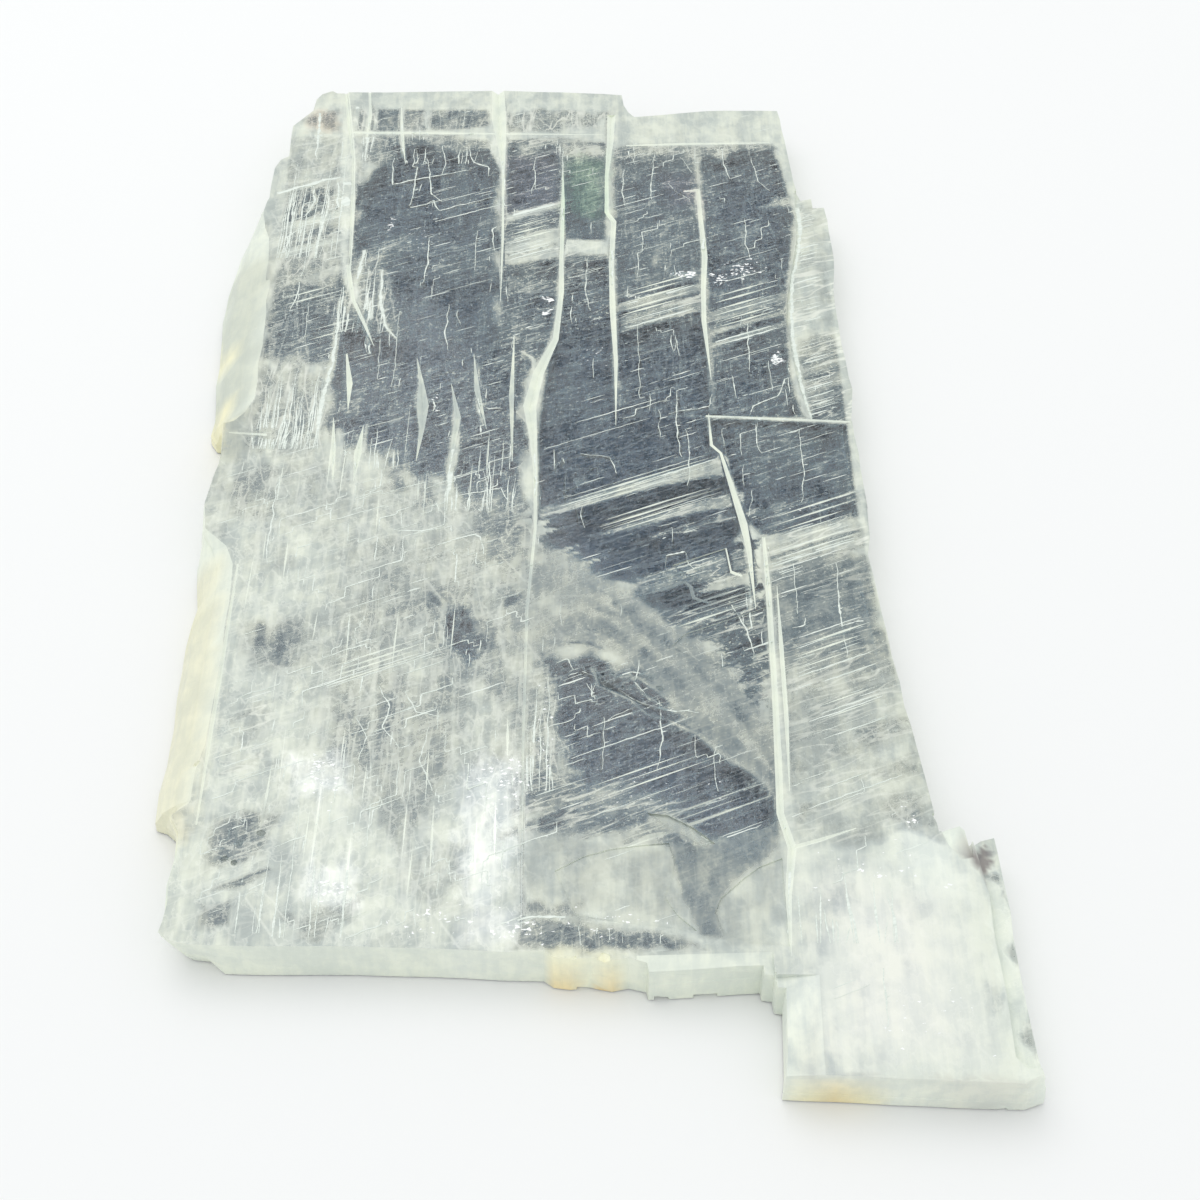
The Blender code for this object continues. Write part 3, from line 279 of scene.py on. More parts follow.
# soft lines painted over the patches: milk, softness in mm, and x, y and half width along the line
milkStrokes = [
    (.90, .7, [(-48.6, 116, 1.0), (-48, 108, .9), (-47.4, 100, 1.0), (-46.4, 92, 1.5), (-45.8, 84, 1.2),
        (-45.4, 76, .9), (-44.9, 68, .8), (-44.3, 60, .7), (-43.4, 53, .4), (-41.6, 47, .2),
        (-40.2, 43, .1)]),
    (.86, .6, [(-43.7, 110, .7), (-43.4, 103, .6), (-43, 97, .4), (-42.8, 91, .1)]),
    (.82, .5, [(-45.8, 110, .5), (-46, 101, .6), (-46.2, 94, .4)]),
    (.84, .5, [(-41.6, 110, .3), (-41.8, 101, .3), (-42, 94, .1)]),
    (.84, .5, [(-36.6, 110, .4), (-36.4, 100, .3), (-35.6, 92, .1)]),
    (.84, .8, [(-31.5, 110, .8), (-31.6, 104, .5), (-30.4, 100.6, .3), (-29.4, 99, .1)]),
    (.90, .7, [(-18.2, 116, 1.0), (-18, 108, 1.2), (-17.4, 102, 1.6), (-16.8, 95, 1.6), (-16.1, 90, .9),
        (-15.3, 86, .2), (-15, 76, .1)]),
    (.88, .8, [(-60, 100.4, .8), (-45, 100.3, .5), (-36, 100.6, .5), (-27, 101, .3), (-19, 102.4, .4)]),
    (.80, .8, [(-59.6, 100, 1.4), (-59, 90, 1.2), (-58.6, 76, 1.2), (-57.6, 60, 1.2), (-58, 50, 1.6),
        (-58.4, 30, 2.0), (-58.6, 6, 1.6)]),
    (.84, .6, [(-53.4, 108, .3), (-52.9, 100, .4), (-52.7, 92, .1)]),
    (.84, .7, [(-59, 80.4, .4), (-50, 85, .5), (-46.6, 86, .2)]),
    (.82, .4, [(-52.4, 83, .1), (-51.6, 78, .3), (-53, 73, .1)]),
    (.82, .4, [(-49.2, 82, .1), (-48.8, 76, .2), (-49.6, 66, .25), (-50, 60, .1)]),
    (.82, .5, [(-47.6, 84, .2), (-46.8, 76, .3)]),
    (.78, .4, [(-55.8, 66, .2), (-53, 70, .1)]),
    (.80, .6, [(-40.6, 62, .3), (-41.6, 52, .5), (-40, 44, .3), (-39.4, 40, .1)]),
    (.80, .5, [(-36.9, 56, .2), (-36.6, 46, .4), (-35, 39.4, .3), (-33.2, 36.4, .15)]),
    (.76, .4, [(-38.4, 47, .2), (-38.3, 38, .3), (-37.5, 32, .1)]),
    (.80, .5, [(-44, 47, .1), (-43.7, 38, .3), (-43.8, 29, .4), (-44.6, 21, .5), (-44.8, 13, .5)]),
    (.80, .8, [(-41.2, 12, .2), (-41.6, 7, .8), (-41, 1, .8), (-41, -4, .3)]),
    (.84, .8, [(-36.4, 13, .15), (-36.9, 6, .7), (-37.4, 1, 1.0), (-37.2, -6, .5)]),
    (.84, .6, [(-28.4, 24, .2), (-27.6, 18.6, .8), (-27.2, 14, .4), (-27, 10, .1)]),
    (.84, .6, [(-22.2, 22, .15), (-21.4, 14, .5), (-21.2, 7, .9), (-21.6, 2, .8), (-21.8, -4, .3)]),
    (.84, .5, [(-18.6, 31, .1), (-18, 24, .4), (-17.7, 18, .3), (-16.6, 13, .1)]),
    (.88, .6, [(-10.4, 32.6, .1), (-8.7, 31, .3), (-7.6, 27, .6), (-8.5, 22, 1.0), (-8.8, 17, 1.1),
        (-8.4, 12, .7), (-7.6, 6, .3), (-7.3, -4, .2)]),
    (.86, .5, [(-4.8, 38, .3), (-5.8, 32, .5), (-7.4, 27, .7)]),
    (.84, .4, [(-3.9, 76, .2), (-3.7, 66, .3), (-3.8, 54, .4), (-4.4, 42, .4)]),
    (.86, .9, [(6.4, 106, .8), (5.9, 98, .9), (5.4, 93, .5), (4.8, 86, .15)]),
    (.86, .4, [(5.0, 74, .2), (5.7, 70, .5), (5.6, 62, .4), (5.5, 52, .3)]),
    (.84, .4, [(21, 81.4, .3), (22.4, 80, .4), (22.6, 72, .5), (22.7, 62, .4), (22.3, 54, .2)]),
    (.86, .6, [(39, 96, .8), (39.9, 86, .8), (41, 78, .8), (41.2, 70, .5), (40.4, 62, .4),
        (38.6, 53, .4), (37.9, 44, .4), (37.8, 34, .5), (38.6, 22, .4), (39.6, 14, .3)]),
    (.88, .6, [(46.4, 80, .5), (46.2, 60, .5), (46, 40, .7), (46.4, 15, .9), (46.2, -10, .8),
        (47.6, -30, .7), (49.4, -48, .8), (52.2, -66, .8), (54, -78, .6)]),
    (.80, .4, [(21.6, 15.2, .1), (30, 14.8, .25), (45.6, 13.8, .15)]),
    (.80, .4, [(24.4, 5, .2), (25.2, -2, .3), (26.6, -11, .4), (27, -20, .25), (26.7, -34, .15)]),
    (.86, .5, [(29.7, -18, .3), (30.2, -34, .35), (30.4, -50, .6), (30, -64, .9), (29.8, -76, .9),
        (29.2, -92, .4)]),
    (.60, .9, [(-7.4, -8, .1), (-7.8, -30, .4), (-8.4, -50, .9), (-8.6, -66, 1.2)]),
    (.86, 1.0, [(-53.9, -20, .3), (-52.6, -46, .4), (-52.6, -72, .4), (-53, -90, .4)]),
    (.80, .9, [(-49.8, 5, .2), (-49.4, -12, .2), (-48.6, -26, .1)]),
    (.84, .9, [(-43, -4, .1), (-42.4, -20, .2), (-42, -34, .1)]),
    (.82, .9, [(-37.6, -6, .2), (-37.5, -20, .2), (-37.2, -32, .1)]),
    (.78, .8, [(-30.6, -30, .1), (-30.8, -44, .3), (-30.2, -58, .3), (-29.8, -72, .1)]),
    (.72, .8, [(-25.4, -42, .1), (-25.2, -54, .2), (-24.6, -62, .1)]),
    (.78, .8, [(-18.8, -40, .1), (-18.5, -52, .25), (-17.9, -62, .1)]),
    (.74, .8, [(-12.2, -26, .1), (-12, -36, .2), (-10.6, -44, .1)]),
    (.78, .8, [(-24, -24.6, .1), (-21, -28.6, .3), (-21.2, -35, .4), (-19.6, -40.6, .2)]),
    (.90, 1.4, [(-54, -42, .1), (-48, -44.6, .3), (-43, -48.6, .3), (-38, -50, .1)]),
    (.84, .8, [(-52.4, -83.6, .2), (-42, -78.4, .3)]),
    (.84, .8, [(-46.2, -83, .2), (-46.6, -92, .2)]),
    (.72, 1.2, [(-7.6, -83.6, .2), (3, -83.8, .3), (10, -86, .4), (15.6, -90, .3)]),
    (.52, 1.2, [(-5, -24, .1), (1, -26.5, .4), (6, -30, .3), (9, -34.5, .1)]),
    (.54, 1.1, [(3, -23.6, .1), (9, -28, .3), (14, -34, .4), (17.4, -39.6, .1)]),
    (.50, 1.0, [(-4, -33, .1), (3, -35.4, .3), (8, -39.4, .2), (11, -44, .1)]),
    (.52, 1.2, [(18, -44.6, .1), (21.6, -49.4, .4), (25.6, -56.6, .3), (28, -62, .1)]),
    (.12, .8, [(-3, -37.4, .1), (1, -36.8, .3), (4, -38.6, .1)]),
    (.60, .5, [(7.6, -43, .1), (9.6, -47.4, .2), (13, -50.4, .1)]),
    (.66, .8, [(2.2, -42.4, .2), (3.2, -44.6, .5), (2.8, -46.4, .1)]),
    (.50, .7, [(4.4, -46.6, .1), (7.6, -48.4, .2), (10.6, -51.6, .2), (14.4, -52.6, .1)]),
    (.46, .8, [(5, -43.6, .1), (9, -44.4, .3), (12.6, -46.8, .1)]),
    (.62, .9, [(14, -53, .1), (18.6, -56, .3), (21.6, -59.6, .4), (26, -62.6, .3), (28.4, -66, .3)]),
    (.74, .5, [(10.2, -69.8, .1), (13.4, -70.6, .1), (19.2, -75, .15), (18.4, -76, .1),
        (15, -74.4, .1)]),
    (.50, 2.4, [(-6, -21, .5), (2, -23.5, .8), (9, -29, .8), (15, -36, .8), (21, -43.5, .8),
        (26, -51, .8), (28.6, -58, .3)]),
    (.46, 2.0, [(-6, -34, .4), (3, -36.6, .6), (10, -41, .6), (15, -46.5, .5), (20, -53, .3)]),
    (.56, 2.2, [(-3, -29, .3), (5, -32, .5), (11.4, -38, .5), (16, -44, .6), (21, -51, .6),
        (25.6, -59, .3)]),
    (.60, 1.6, [(12, -36.6, .1), (16, -41.6, .4), (20.4, -48, .5), (24.4, -55, .4), (27.4, -61, .2)]),
    (.58, .6, [(9, -44, .1), (14, -49, .2), (18, -50.6, .15), (21, -51, .1)]),
    (.80, .9, [(1.4, -85.4, .1), (6, -86.8, .9), (11, -88.8, .5), (15, -91.2, .1)]),
    (.70, .7, [(-8, -88, .2), (-3, -87.6, .3), (2, -88.2, .1)]),
    (.74, 1.0, [(-6, -82, .2), (-5.8, -74, .3), (-5.4, -66, .1)]),
    (.06, .5, [(7.0, 42.9, .22), (22.2, 49.6, .16)]),
    (.20, .4, [(7.0, 40.9, .04), (22.2, 47.5, .08)]),
    (.24, .4, [(7.0, 39.5, .08), (22.2, 46.0, .04)]),
    (.16, .4, [(23.2, 42.3, .1), (30, 45.2, .02)]),
    (.16, .3, [(-14.6, 60.4, .05), (-4.4, 64.2, .05)]),
]


# blocks of slightly different milk: width, height and seed of both sizes; strength at no milk and what
# milk adds to it
milkBlocks = {"large": (4.5, 7.0, 21), "small": (1.9, 3.2, 22), "least": 0.04, "added": 0.26}


def tileNoise(x, y, wide, tall, seed):
    # one random value for each block of a wall of blocks whose sides follow y and the slant, 0 to 1
    lattice = np.random.default_rng(seed).random((257, 263))
    column = x / wide + 0.35 * np.sin(y / (2.3 * tall)) + 1000
    i = np.floor(column).astype(int)
    row = (y - x * math.tan(slant)) / tall + 7 * lattice[i % 257, 0] + 1000
    return lattice[i % 257, np.floor(row).astype(int) % 263]


def wanderedPlaces(x, y):
    # places shifted by smooth noise: a little everywhere, in billows, or by lanes along y or along the slant
    def wave(u, v, seed):
        return softNoise(u, v, 1.0, seed) - 0.5
    along = x * math.cos(slant) + y * math.sin(slant)
    side = -x * math.sin(slant) + y * math.cos(slant)
    small = 0.7 * wave(x / 1.5, y / 1.5, 1), 0.7 * wave(x / 1.5, y / 1.5, 2)
    billowX = small[0] + 4.0 * wave(x / 7, y / 7, 3) + 2.6 * wave(x / 2.6, y / 2.6, 4)
    billowY = small[1] + 4.0 * wave(x / 7, y / 7, 5) + 2.6 * wave(x / 2.6, y / 2.6, 6)
    lanesY = 6 * wave(x / 3.1, y / 60, 11) + 5 * wave(x / 1.6, y / 30, 7) + 5 * wave(x / 0.8, y / 15, 8)
    lanesSlant = 7 * wave(along / 40, side / 1.6, 9) + 6 * wave(along / 20, side / 0.7, 10)
    return {
        "clean": (x + 0.5 * small[0], y + 0.5 * small[1]),
        "frayed": (x + 2.2 * small[0] + 0.25 * billowX, y + 2.2 * small[1] + 0.25 * billowY),
        "cloud": (x + billowX, y + billowY),
        "grain": (x + 0.4 * billowX, y + lanesY + 0.6 * billowY),
        "slant": (x + lanesSlant * math.cos(slant), y + lanesSlant * math.sin(slant)),
    }


def milkAt(x, y):
    # milk and the two streak strengths; each patch replaces what lies under it by an eased step over its
    # edge, then the blocks are added, and the soft lines are drawn on top
    values = [np.full(x.shape, value) for value in milkElsewhere]
    places = wanderedPlaces(x, y)
    for milk, slanted, upright, softness, edge, outline in milkPatches:
        share = np.clip(0.5 + 0.5 * depthInside(*places[edge], outline) / softness, 0, 1)
        share = share * share * (3 - 2 * share)
        values = [old + (new - old) * share for old, new in zip(values, (milk, slanted, upright))]
    large = tileNoise(*places["clean"], *milkBlocks["large"])
    small = tileNoise(*places["clean"], *milkBlocks["small"])
    strength = milkBlocks["least"] + milkBlocks["added"] * values[0] * (1.1 - values[0])
    values[0] = values[0] + (large + small - 1.0) * strength
    for milk, softness, path in milkStrokes:
        share = strokeShare(*places["clean"], path, softness)
        values[0] = values[0] + (milk - values[0]) * share
    return values


# colour of the milk where it isn't plain, as a factor; softness in mm; outline. Where all three factors are
# above 1 it is a painted highlight: the pearly sheen painted in as brighter milk
stainsAndSheen = [
    # the next eight are painted highlights: the pearly sheen of the cleavage painted brighter into the milk's
    # colour
    ((1.02, 1.02, 1.03), 5.0, [(-46, -60), (-8, -58), (-7, -92), (-50, -92)]),
    ((1.30, 1.28, 1.35), 1.2, [(-15, -59), (-8, -60), (-7.6, -72), (-11, -86), (-16, -86), (-17, -70)]),
    ((1.30, 1.28, 1.35), 1.0, [(-42, -60), (-35, -59), (-33, -66), (-41, -67)]),
    ((1.29, 1.27, 1.34), 1.0, [(-38, -79), (-31, -80), (-30, -86), (-38, -85)]),
    ((1.16, 1.14, 1.22), 1.6, [(-14, -86), (-8, -86), (-8, -92), (-16, -92)]),
    ((1.045, 1.04, 1.065), 3.0, [(29, -77), (56, -76), (58, -113), (27, -113)]),
    ((1.14, 1.10, 1.16), 5.0, [(35, -84), (50, -82), (51, -108), (33, -109)]),
    ((1.12, 1.12, 1.17), 3.0, [(46, -70), (54, -74), (54, -84), (44, -82)]),
    ((1.00, 0.94, 0.84), 1.5, [(-66, -18), (-57.6, -18), (-56, -30), (-54.8, -50), (-54.8, -75),
        (-66, -75)]),
    ((1.02, 0.95, 0.78), .8, [(-66, -22), (-59.4, -22), (-59.2, -34), (-66, -34)]),
    ((0.79, 0.79, 0.77), 1.5, [(-66, 62), (-56.6, 62), (-56.6, 4), (-66, 4)]),
    ((0.90, 0.88, 0.90), .5, [(25, -112.6), (63, -112.6), (63, -120), (25, -120)]),
    ((1.10, 1.00, 0.78), .7, [(-66, 21), (-61.6, 21), (-60.6, 12), (-61, 6), (-66, 5)]),
    ((1.08, 1.00, 0.82), .7, [(-66, 38), (-61.8, 38), (-61.8, 31), (-66, 31)]),
    ((1.14, 1.08, 0.93), 1.0, [(-4.4, -99), (8.4, -99), (7.4, -93.8), (-3.4, -93.4)]),
    # painted highlight: the pearly sheen on the tab's right strip painted brighter
    ((1.10, 1.10, 1.12), .8, [(56.6, -79), (61, -79), (62, -113), (57, -113)]),
    ((0.42, 0.37, 0.40), .5, [(55.2, -76.2), (57.6, -75.6), (58.0, -77.6), (56.6, -79.2),
        (55.6, -77.8)]),
    ((0.84, 1.02, 0.86), 1.6, [(-3.6, 91), (0, 92.4), (4.2, 91), (4.4, 75), (2, 72), (-3.4, 75)]),
    ((1.04, 0.94, 0.90), 1.0, [(-56, 108.6), (-49, 108.6), (-49, 101.6), (-55, 101.6)]),
    ((1.02, 0.92, 0.98), 1.6, [(15, 86), (21, 86), (22, 77), (17, 76)]),
    ((1.02, 0.93, 1.00), 1.6, [(-14.6, 92), (-5, 93), (-5, 78), (-14.6, 74)]),
]

# stains that are strongest at the foot of a wall and fade to nothing at its top edge
footStains = [
    ((1.12, 0.90, 0.60), .5, [(-2.6, -97), (0.6, -97), (0.8, -92), (-2.6, -92)]),
    ((1.08, 0.80, 0.46), .5, [(2.8, -98), (5.8, -98), (5.8, -92), (2.8, -92)]),
    ((1.14, 1.02, 0.78), .8, [(26.6, -115), (38.6, -115), (38, -109.6), (27, -109.6)]),
    ((1.10, 0.88, 0.58), .5, [(32.2, -114), (35.6, -114), (35.6, -110.2), (32.2, -110.2)]),
]


def stainAndSheenAt(x, y, foot):
    # the stains and the painted pearly sheen in the same painter's order on three colour channels, their
    # edges broken by noise; foot is 1 at the underside and falls to 0 at the top face
    colour = np.ones(x.shape + (3,))
    wander = 2.2 * (softNoise(x, y, 2.4, 15) - 0.5) + 1.4 * (softNoise(x, y, 0.7, 16) - 0.5)
    for marks, strength in ((stainsAndSheen, 1.0), (footStains, foot)):
        for stainAndSheen, softness, outline in marks:
            share = np.clip(0.5 + 0.5 * (depthInside(x, y, outline) + wander) / softness, 0, 1) * strength
            colour += (np.array(stainAndSheen) - colour) * share[..., None]
    return colour


# the crystal's own skin, in mm: triangle sides on the top and the underside, how far the skin lies below
# the CAD's top, welding distance and least area of a level that is cut finer; milk of walls, rims and the
# underside, and the brightness of the walls
skin = {
    "topStep": 0.54, "underStep": 2.2, "sunk": 0.05, "weld": 0.002, "leastLevel": 25,
    "wallMilk": 0.97, "rimMilk": 0.55, "underMilk": 0.55, "streaksOnWalls": 0.06, "wallTint": 1.125,
    "shallow": 1.0,     # a groove that ends this near the top is no wall
}


def gridInside(edges, step, clear):
    # nodes of a square lattice that lie inside the closed edges by an even count of crossings on each row,
    # without the nodes that are nearer than clear to an edge
    low = edges.min(axis=(0, 1))
    high = edges.max(axis=(0, 1))
    xs = np.arange(low[0] + 0.5 * step, high[0], step)
    ys = np.arange(low[1] + 0.5 * step + 0.00137, high[1], step)
    inside = np.zeros((len(ys), len(xs)), bool)
    for row, y in enumerate(ys):
        a = edges[:, 0]
        b = edges[:, 1]
        cut = (a[:, 1] > y) != (b[:, 1] > y)
        at = a[cut, 0] + (y - a[cut, 1]) * (b[cut, 0] - a[cut, 0]) / (b[cut, 1] - a[cut, 1])
        inside[row] = np.searchsorted(np.sort(at), xs) % 2 == 1
    lengths = np.hypot(*(edges[:, 1] - edges[:, 0]).T)
    counts = np.maximum(2, np.ceil(lengths / (0.4 * clear)).astype(int) + 1)
    owner = np.repeat(np.arange(len(edges)), counts)
    part = (np.arange(counts.sum()) - np.repeat(np.cumsum(counts) - counts, counts)) / (counts[owner] - 1)
    marks = edges[owner, 0] + part[:, None] * (edges[owner, 1] - edges[owner, 0])
    reach = int(math.ceil(clear / step)) + 1
    column = np.round((marks[:, 0] - xs[0]) / step).astype(int)
    row = np.round((marks[:, 1] - ys[0]) / step).astype(int)
    for dx in range(-reach, reach + 1):
        for dy in range(-reach, reach + 1):
            c = column + dx
            r = row + dy
            ok = (c >= 0) & (c < len(xs)) & (r >= 0) & (r < len(ys))
            c = c[ok]
            r = r[ok]
            close = np.hypot(xs[c] - marks[ok, 0], ys[r] - marks[ok, 1]) < clear
            inside[r[close], c[close]] = False
    rows, columns = np.nonzero(inside)
    return np.stack([xs[columns], ys[rows]], axis=1)


def refineFlat(verts, tris, step):
    # one flat level of the skin, cut again into small triangles between its own border edges
    sides = np.concatenate([tris[:, [0, 1]], tris[:, [1, 2]], tris[:, [2, 0]]])
    keys = np.sort(sides, axis=1)
    unique, count = np.unique(keys, axis=0, return_counts=True)
    border = unique[count == 1]
    used, packed = np.unique(border, return_inverse=True)
    packed = packed.reshape(border.shape)
    plan = verts[used][:, :2]
    extra = gridInside(plan[packed], step, 0.45 * step)
    points = np.concatenate([plan, extra])
    out = delaunay_2d_cdt([tuple(p) for p in points], [tuple(e) for e in packed.tolist()], [], 1, 1e-5)
    places = np.array([tuple(p) for p in out[0]])
    found = np.array([(source[0] if source else -1) for source in out[3]])
    fine = np.array(out[2])
    onBorder = (found[fine] < len(used)).all(axis=1)
    centres = places[fine[onBorder]].mean(axis=1)
    a = plan[packed[:, 0]]
    b = plan[packed[:, 1]]
    keep = np.ones(len(fine), bool)
    inside = np.zeros(len(centres), bool)
    for start in range(0, len(centres), 2000):
        x = centres[start:start + 2000, 0][:, None]
        y = centres[start:start + 2000, 1][:, None]
        cut = (a[:, 1] > y) != (b[:, 1] > y)
        with np.errstate(divide="ignore", invalid="ignore"):
            at = a[:, 0] + (y - a[:, 1]) * (b[:, 0] - a[:, 0]) / (b[:, 1] - a[:, 1])
        inside[start:start + 2000] = (cut & (x < at)).sum(axis=1) % 2 == 1
    keep[np.nonzero(onBorder)[0][~inside]] = False
    fine = fine[keep]
    level = verts[used[0], 2]
    fresh = np.concatenate([extra, np.full((len(extra), 1), level)], axis=1)
    number = np.concatenate([used, len(verts) + np.arange(len(extra))])
    if (found < 0).any():
        raise RuntimeError("a border edge of the skin was split")
    return fresh, number[found[fine]]


def crystalSkin(node):
    # the CAD solid's own shape, its flat levels cut finely enough to carry the milk as values on the mesh;
    # a face counts as flat by its normal, and levels are told apart by height and by whether they face up
    # or down
    shape = bmesh.new()
    shape.from_mesh(node.data)
    bmesh.ops.remove_doubles(shape, verts=shape.verts, dist=skin["weld"] * mm)
    bmesh.ops.triangulate(shape, faces=shape.faces)
    welded = bpy.data.meshes.new("weldedSlab")
    shape.to_mesh(welded)
    shape.free()
    verts = np.empty(len(welded.vertices) * 3)
    welded.vertices.foreach_get("co", verts)
    verts = verts.reshape(-1, 3) / mm
    tris = np.empty(len(welded.polygons) * 3, int)
    welded.loops.foreach_get("vertex_index", tris)
    tris = tris.reshape(-1, 3)
    bpy.data.meshes.remove(welded)
    cross = np.cross(verts[tris[:, 1]] - verts[tris[:, 0]], verts[tris[:, 2]] - verts[tris[:, 0]])
    area = 0.5 * np.linalg.norm(cross, axis=1)
    up = cross[:, 2] / np.maximum(2 * area, 1e-9)
    height = verts[tris][:, :, 2]
    flat = (np.abs(up) > 0.99) & (np.ptp(height, axis=1) < 0.003)
    level = np.where(flat, np.round(height.mean(axis=1), 2) * 10 + np.where(up > 0, 1000, -1000), 0)
    done = ~flat
    parts = []
    for value in np.unique(level[flat]):
        members = flat & (level == value)
        if area[members].sum() < skin["leastLevel"]:
            done |= members
            continue
        step = skin["topStep"] if value > 0 else skin["underStep"]
        fresh, fine = refineFlat(verts, tris[members], step)
        verts = np.concatenate([verts, fresh])
        a, b, c = verts[fine[:, 0]], verts[fine[:, 1]], verts[fine[:, 2]]
        turned = np.cross(b - a, c - a)[:, 2] * (1 if value > 0 else -1) < 0
        fine[turned] = fine[turned][:, ::-1]
        parts.append((fine, np.full(len(fine), 1 if value > 0 else -1)))
    kinds = [np.zeros(done.sum(), int)] + [kind for _, kind in parts]
    faces = np.concatenate([tris[done]] + [fine for fine, _ in parts])
    return verts, faces, np.concatenate(kinds)


def meshFrom(name, verts, faces, material):
    mesh = bpy.data.meshes.new(name)
    mesh.from_pydata((verts * mm).tolist(), [], faces.tolist() if isinstance(faces, np.ndarray) else faces)
    mesh.materials.append(material)
    mesh.update()
    piece = bpy.data.objects.new(name, mesh)
    bpy.context.scene.collection.objects.link(piece)
    return piece


def setValues(mesh, name, values):
    layer = mesh.attributes.new(name, "FLOAT", "CORNER")
    layer.data.foreach_set("value", values.astype(np.float32))


def setColours(mesh, name, colours):
    layer = mesh.attributes.new(name, "FLOAT_COLOR", "CORNER")
    full = np.concatenate([colours, np.ones((len(colours), 1))], axis=1)
    layer.data.foreach_set("color", full.astype(np.float32).ravel())


def node(tree, kind, **settings):
    made = tree.nodes.new(kind)
    for key, value in settings.items():
        setattr(made, key, value)
    return made


def put(tree, target, value):
    # a socket is joined to another socket, or takes a plain value
    if isinstance(value, bpy.types.NodeSocket):
        tree.links.new(value, target)
    else:
        target.default_value = value


def sums(tree, operation, first, second=None, third=None):
    made = node(tree, "ShaderNodeMath", operation=operation)
    for socket, value in zip(made.inputs, (first, second, third)):
        if value is not None:
            put(tree, socket, value)
    return made.outputs[0]


def spread(tree, value, low, high, toLow=0.0, toHigh=1.0, kind="SMOOTHSTEP"):
    made = node(tree, "ShaderNodeMapRange", interpolation_type=kind)
    put(tree, made.inputs["Value"], value)
    made.inputs["From Min"].default_value = low
    made.inputs["From Max"].default_value = high
    made.inputs["To Min"].default_value = toLow
    made.inputs["To Max"].default_value = toHigh
    return made.outputs["Result"]


def grain(tree, size, turn=0.0, detail=4.0, rough=0.55, swirl=0.0):
    # noise whose features have the given length, width and height in mm, lying along the turned x axis
    place = node(tree, "ShaderNodeTexCoord")
    lay = node(tree, "ShaderNodeMapping", vector_type="TEXTURE")
    tree.links.new(place.outputs["Object"], lay.inputs["Vector"])
    lay.inputs["Rotation"].default_value = (0, 0, turn)
    lay.inputs["Scale"].default_value = tuple(s * mm for s in size)
    noise = node(tree, "ShaderNodeTexNoise")
    tree.links.new(lay.outputs["Vector"], noise.inputs["Vector"])
    noise.inputs["Scale"].default_value = 1.0
    noise.inputs["Detail"].default_value = detail
    noise.inputs["Roughness"].default_value = rough
    noise.inputs["Distortion"].default_value = swirl
    return noise.outputs["Fac"]


def blendColour(tree, share, first, second, kind="MIX"):
    made = node(tree, "ShaderNodeMix", data_type="RGBA", blend_type=kind)
    put(tree, made.inputs[0], share)
    put(tree, made.inputs[6], first)
    put(tree, made.inputs[7], second)
    return made.outputs[2]


def newMaterial(name):
    material = bpy.data.materials.new(name)
    material.use_nodes = True
    tree = material.node_tree
    tree.nodes.clear()
    shader = tree.nodes.new("ShaderNodeBsdfPrincipled")
    out = tree.nodes.new("ShaderNodeOutputMaterial")
    tree.links.new(shader.outputs[0], out.inputs["Surface"])
    return material, tree, shader, out


def roughen(tree, shader, height, strength, deep):
    # a bump of the given depth in mm on the shader's normal
    bump = node(tree, "ShaderNodeBump")
    bump.inputs["Strength"].default_value = strength
    bump.inputs["Distance"].default_value = deep * mm
    put(tree, bump.inputs["Height"], height)
    put(tree, shader.inputs["Normal"], bump.outputs["Normal"])


selenite = {
    "ior": 1.52,
    "absorbs": 124.0,                   # per metre, of the colour below; it makes the clear windows dark
    "absorbColour": (0.0, 0.235, 0.405, 1),
    "thinMilk": (0.40, 0.515, 0.57, 1),
    "milkDark": (0.52, 0.575, 0.54, 1),
    "milkPale": (0.735, 0.77, 0.66, 1),
    "wispPale": (0.83, 0.855, 0.765, 1),
    "clearColour": (0.97, 0.98, 1.0, 1),
    "clearRoughness": 0.06,
    "milkRoughness": 0.42,
    "largeClouds": 0.34,
    "smallClouds": 0.30,
    "calmClouds": 0.35,                 # share of both clouds left where there are hardly any streaks
    "yStreaks": 0.60,
    "slantStreaks": 0.60,
    "wisps": 0.50,                      # how much the finer veils hide
    "web": 0.27,
    # noise value where a veil begins and where it is full, and how much it hides at each
    "dashes": (0.42, 0.70, 0.0, 0.22),
    "lines": (0.64, 0.70, 0.0, 0.65),
    "uprights": (0.66, 0.71, 0.0, 0.70),
    "specks": (0.62, 0.70, 0.0, 0.50),
    # noises: length, width and height of their features in mm, turn, detail, roughness and swirl
    "grains": [
        ((11, 14, 9), 0.0, 2, 0.55, 0.0),           # large clouds
        ((3.0, 4.2, 3.0), 0.0, 4, 0.58, 0.0),       # small clouds
        ((1.1, 13, 5), 0.0, 3, 0.6, 0.0),           # streaks along y
        ((20, 1.9, 3), slant, 3, 0.68, 0.0),        # streaks along the slant
        ((3.0, 15, 6), 0.0, 2, 0.5, 0.6),           # wisps along y
        ((14, 2.6, 6), slant, 2, 0.5, 0.4),         # wisps along the slant
        ((1.1, 0.40, 0.5), slant, 1, 0.6, 0.0),     # dashes
        ((0.55, 0.45, 0.5), slant, 1, 0.5, 0.0),    # specks
        ((9, 0.22, 1.5), slant, 2, 0.5, 0.0),       # lines
        ((0.25, 6, 2), 0.0, 2, 0.5, 0.0),           # uprights
    ],
    "bump": (0.35, 0.05),               # strength and depth in mm
}


def without(tree, left, cover):
    # what stays clear behind one more veil
    return sums(tree, "MULTIPLY", left, sums(tree, "SUBTRACT", 1.0, cover))


def offMiddle(tree, noise, strength):
    # a noise turned into a plus and minus change of the given strength
    return sums(tree, "MULTIPLY", sums(tree, "SUBTRACT", noise, 0.5), strength)


def threadOf(tree, noise, width):
    # thin wandering lines where the noise passes its middle value
    return spread(tree, sums(tree, "ABSOLUTE", sums(tree, "SUBTRACT", noise, 0.5)), 0.0, width, 1.0, 0.0)


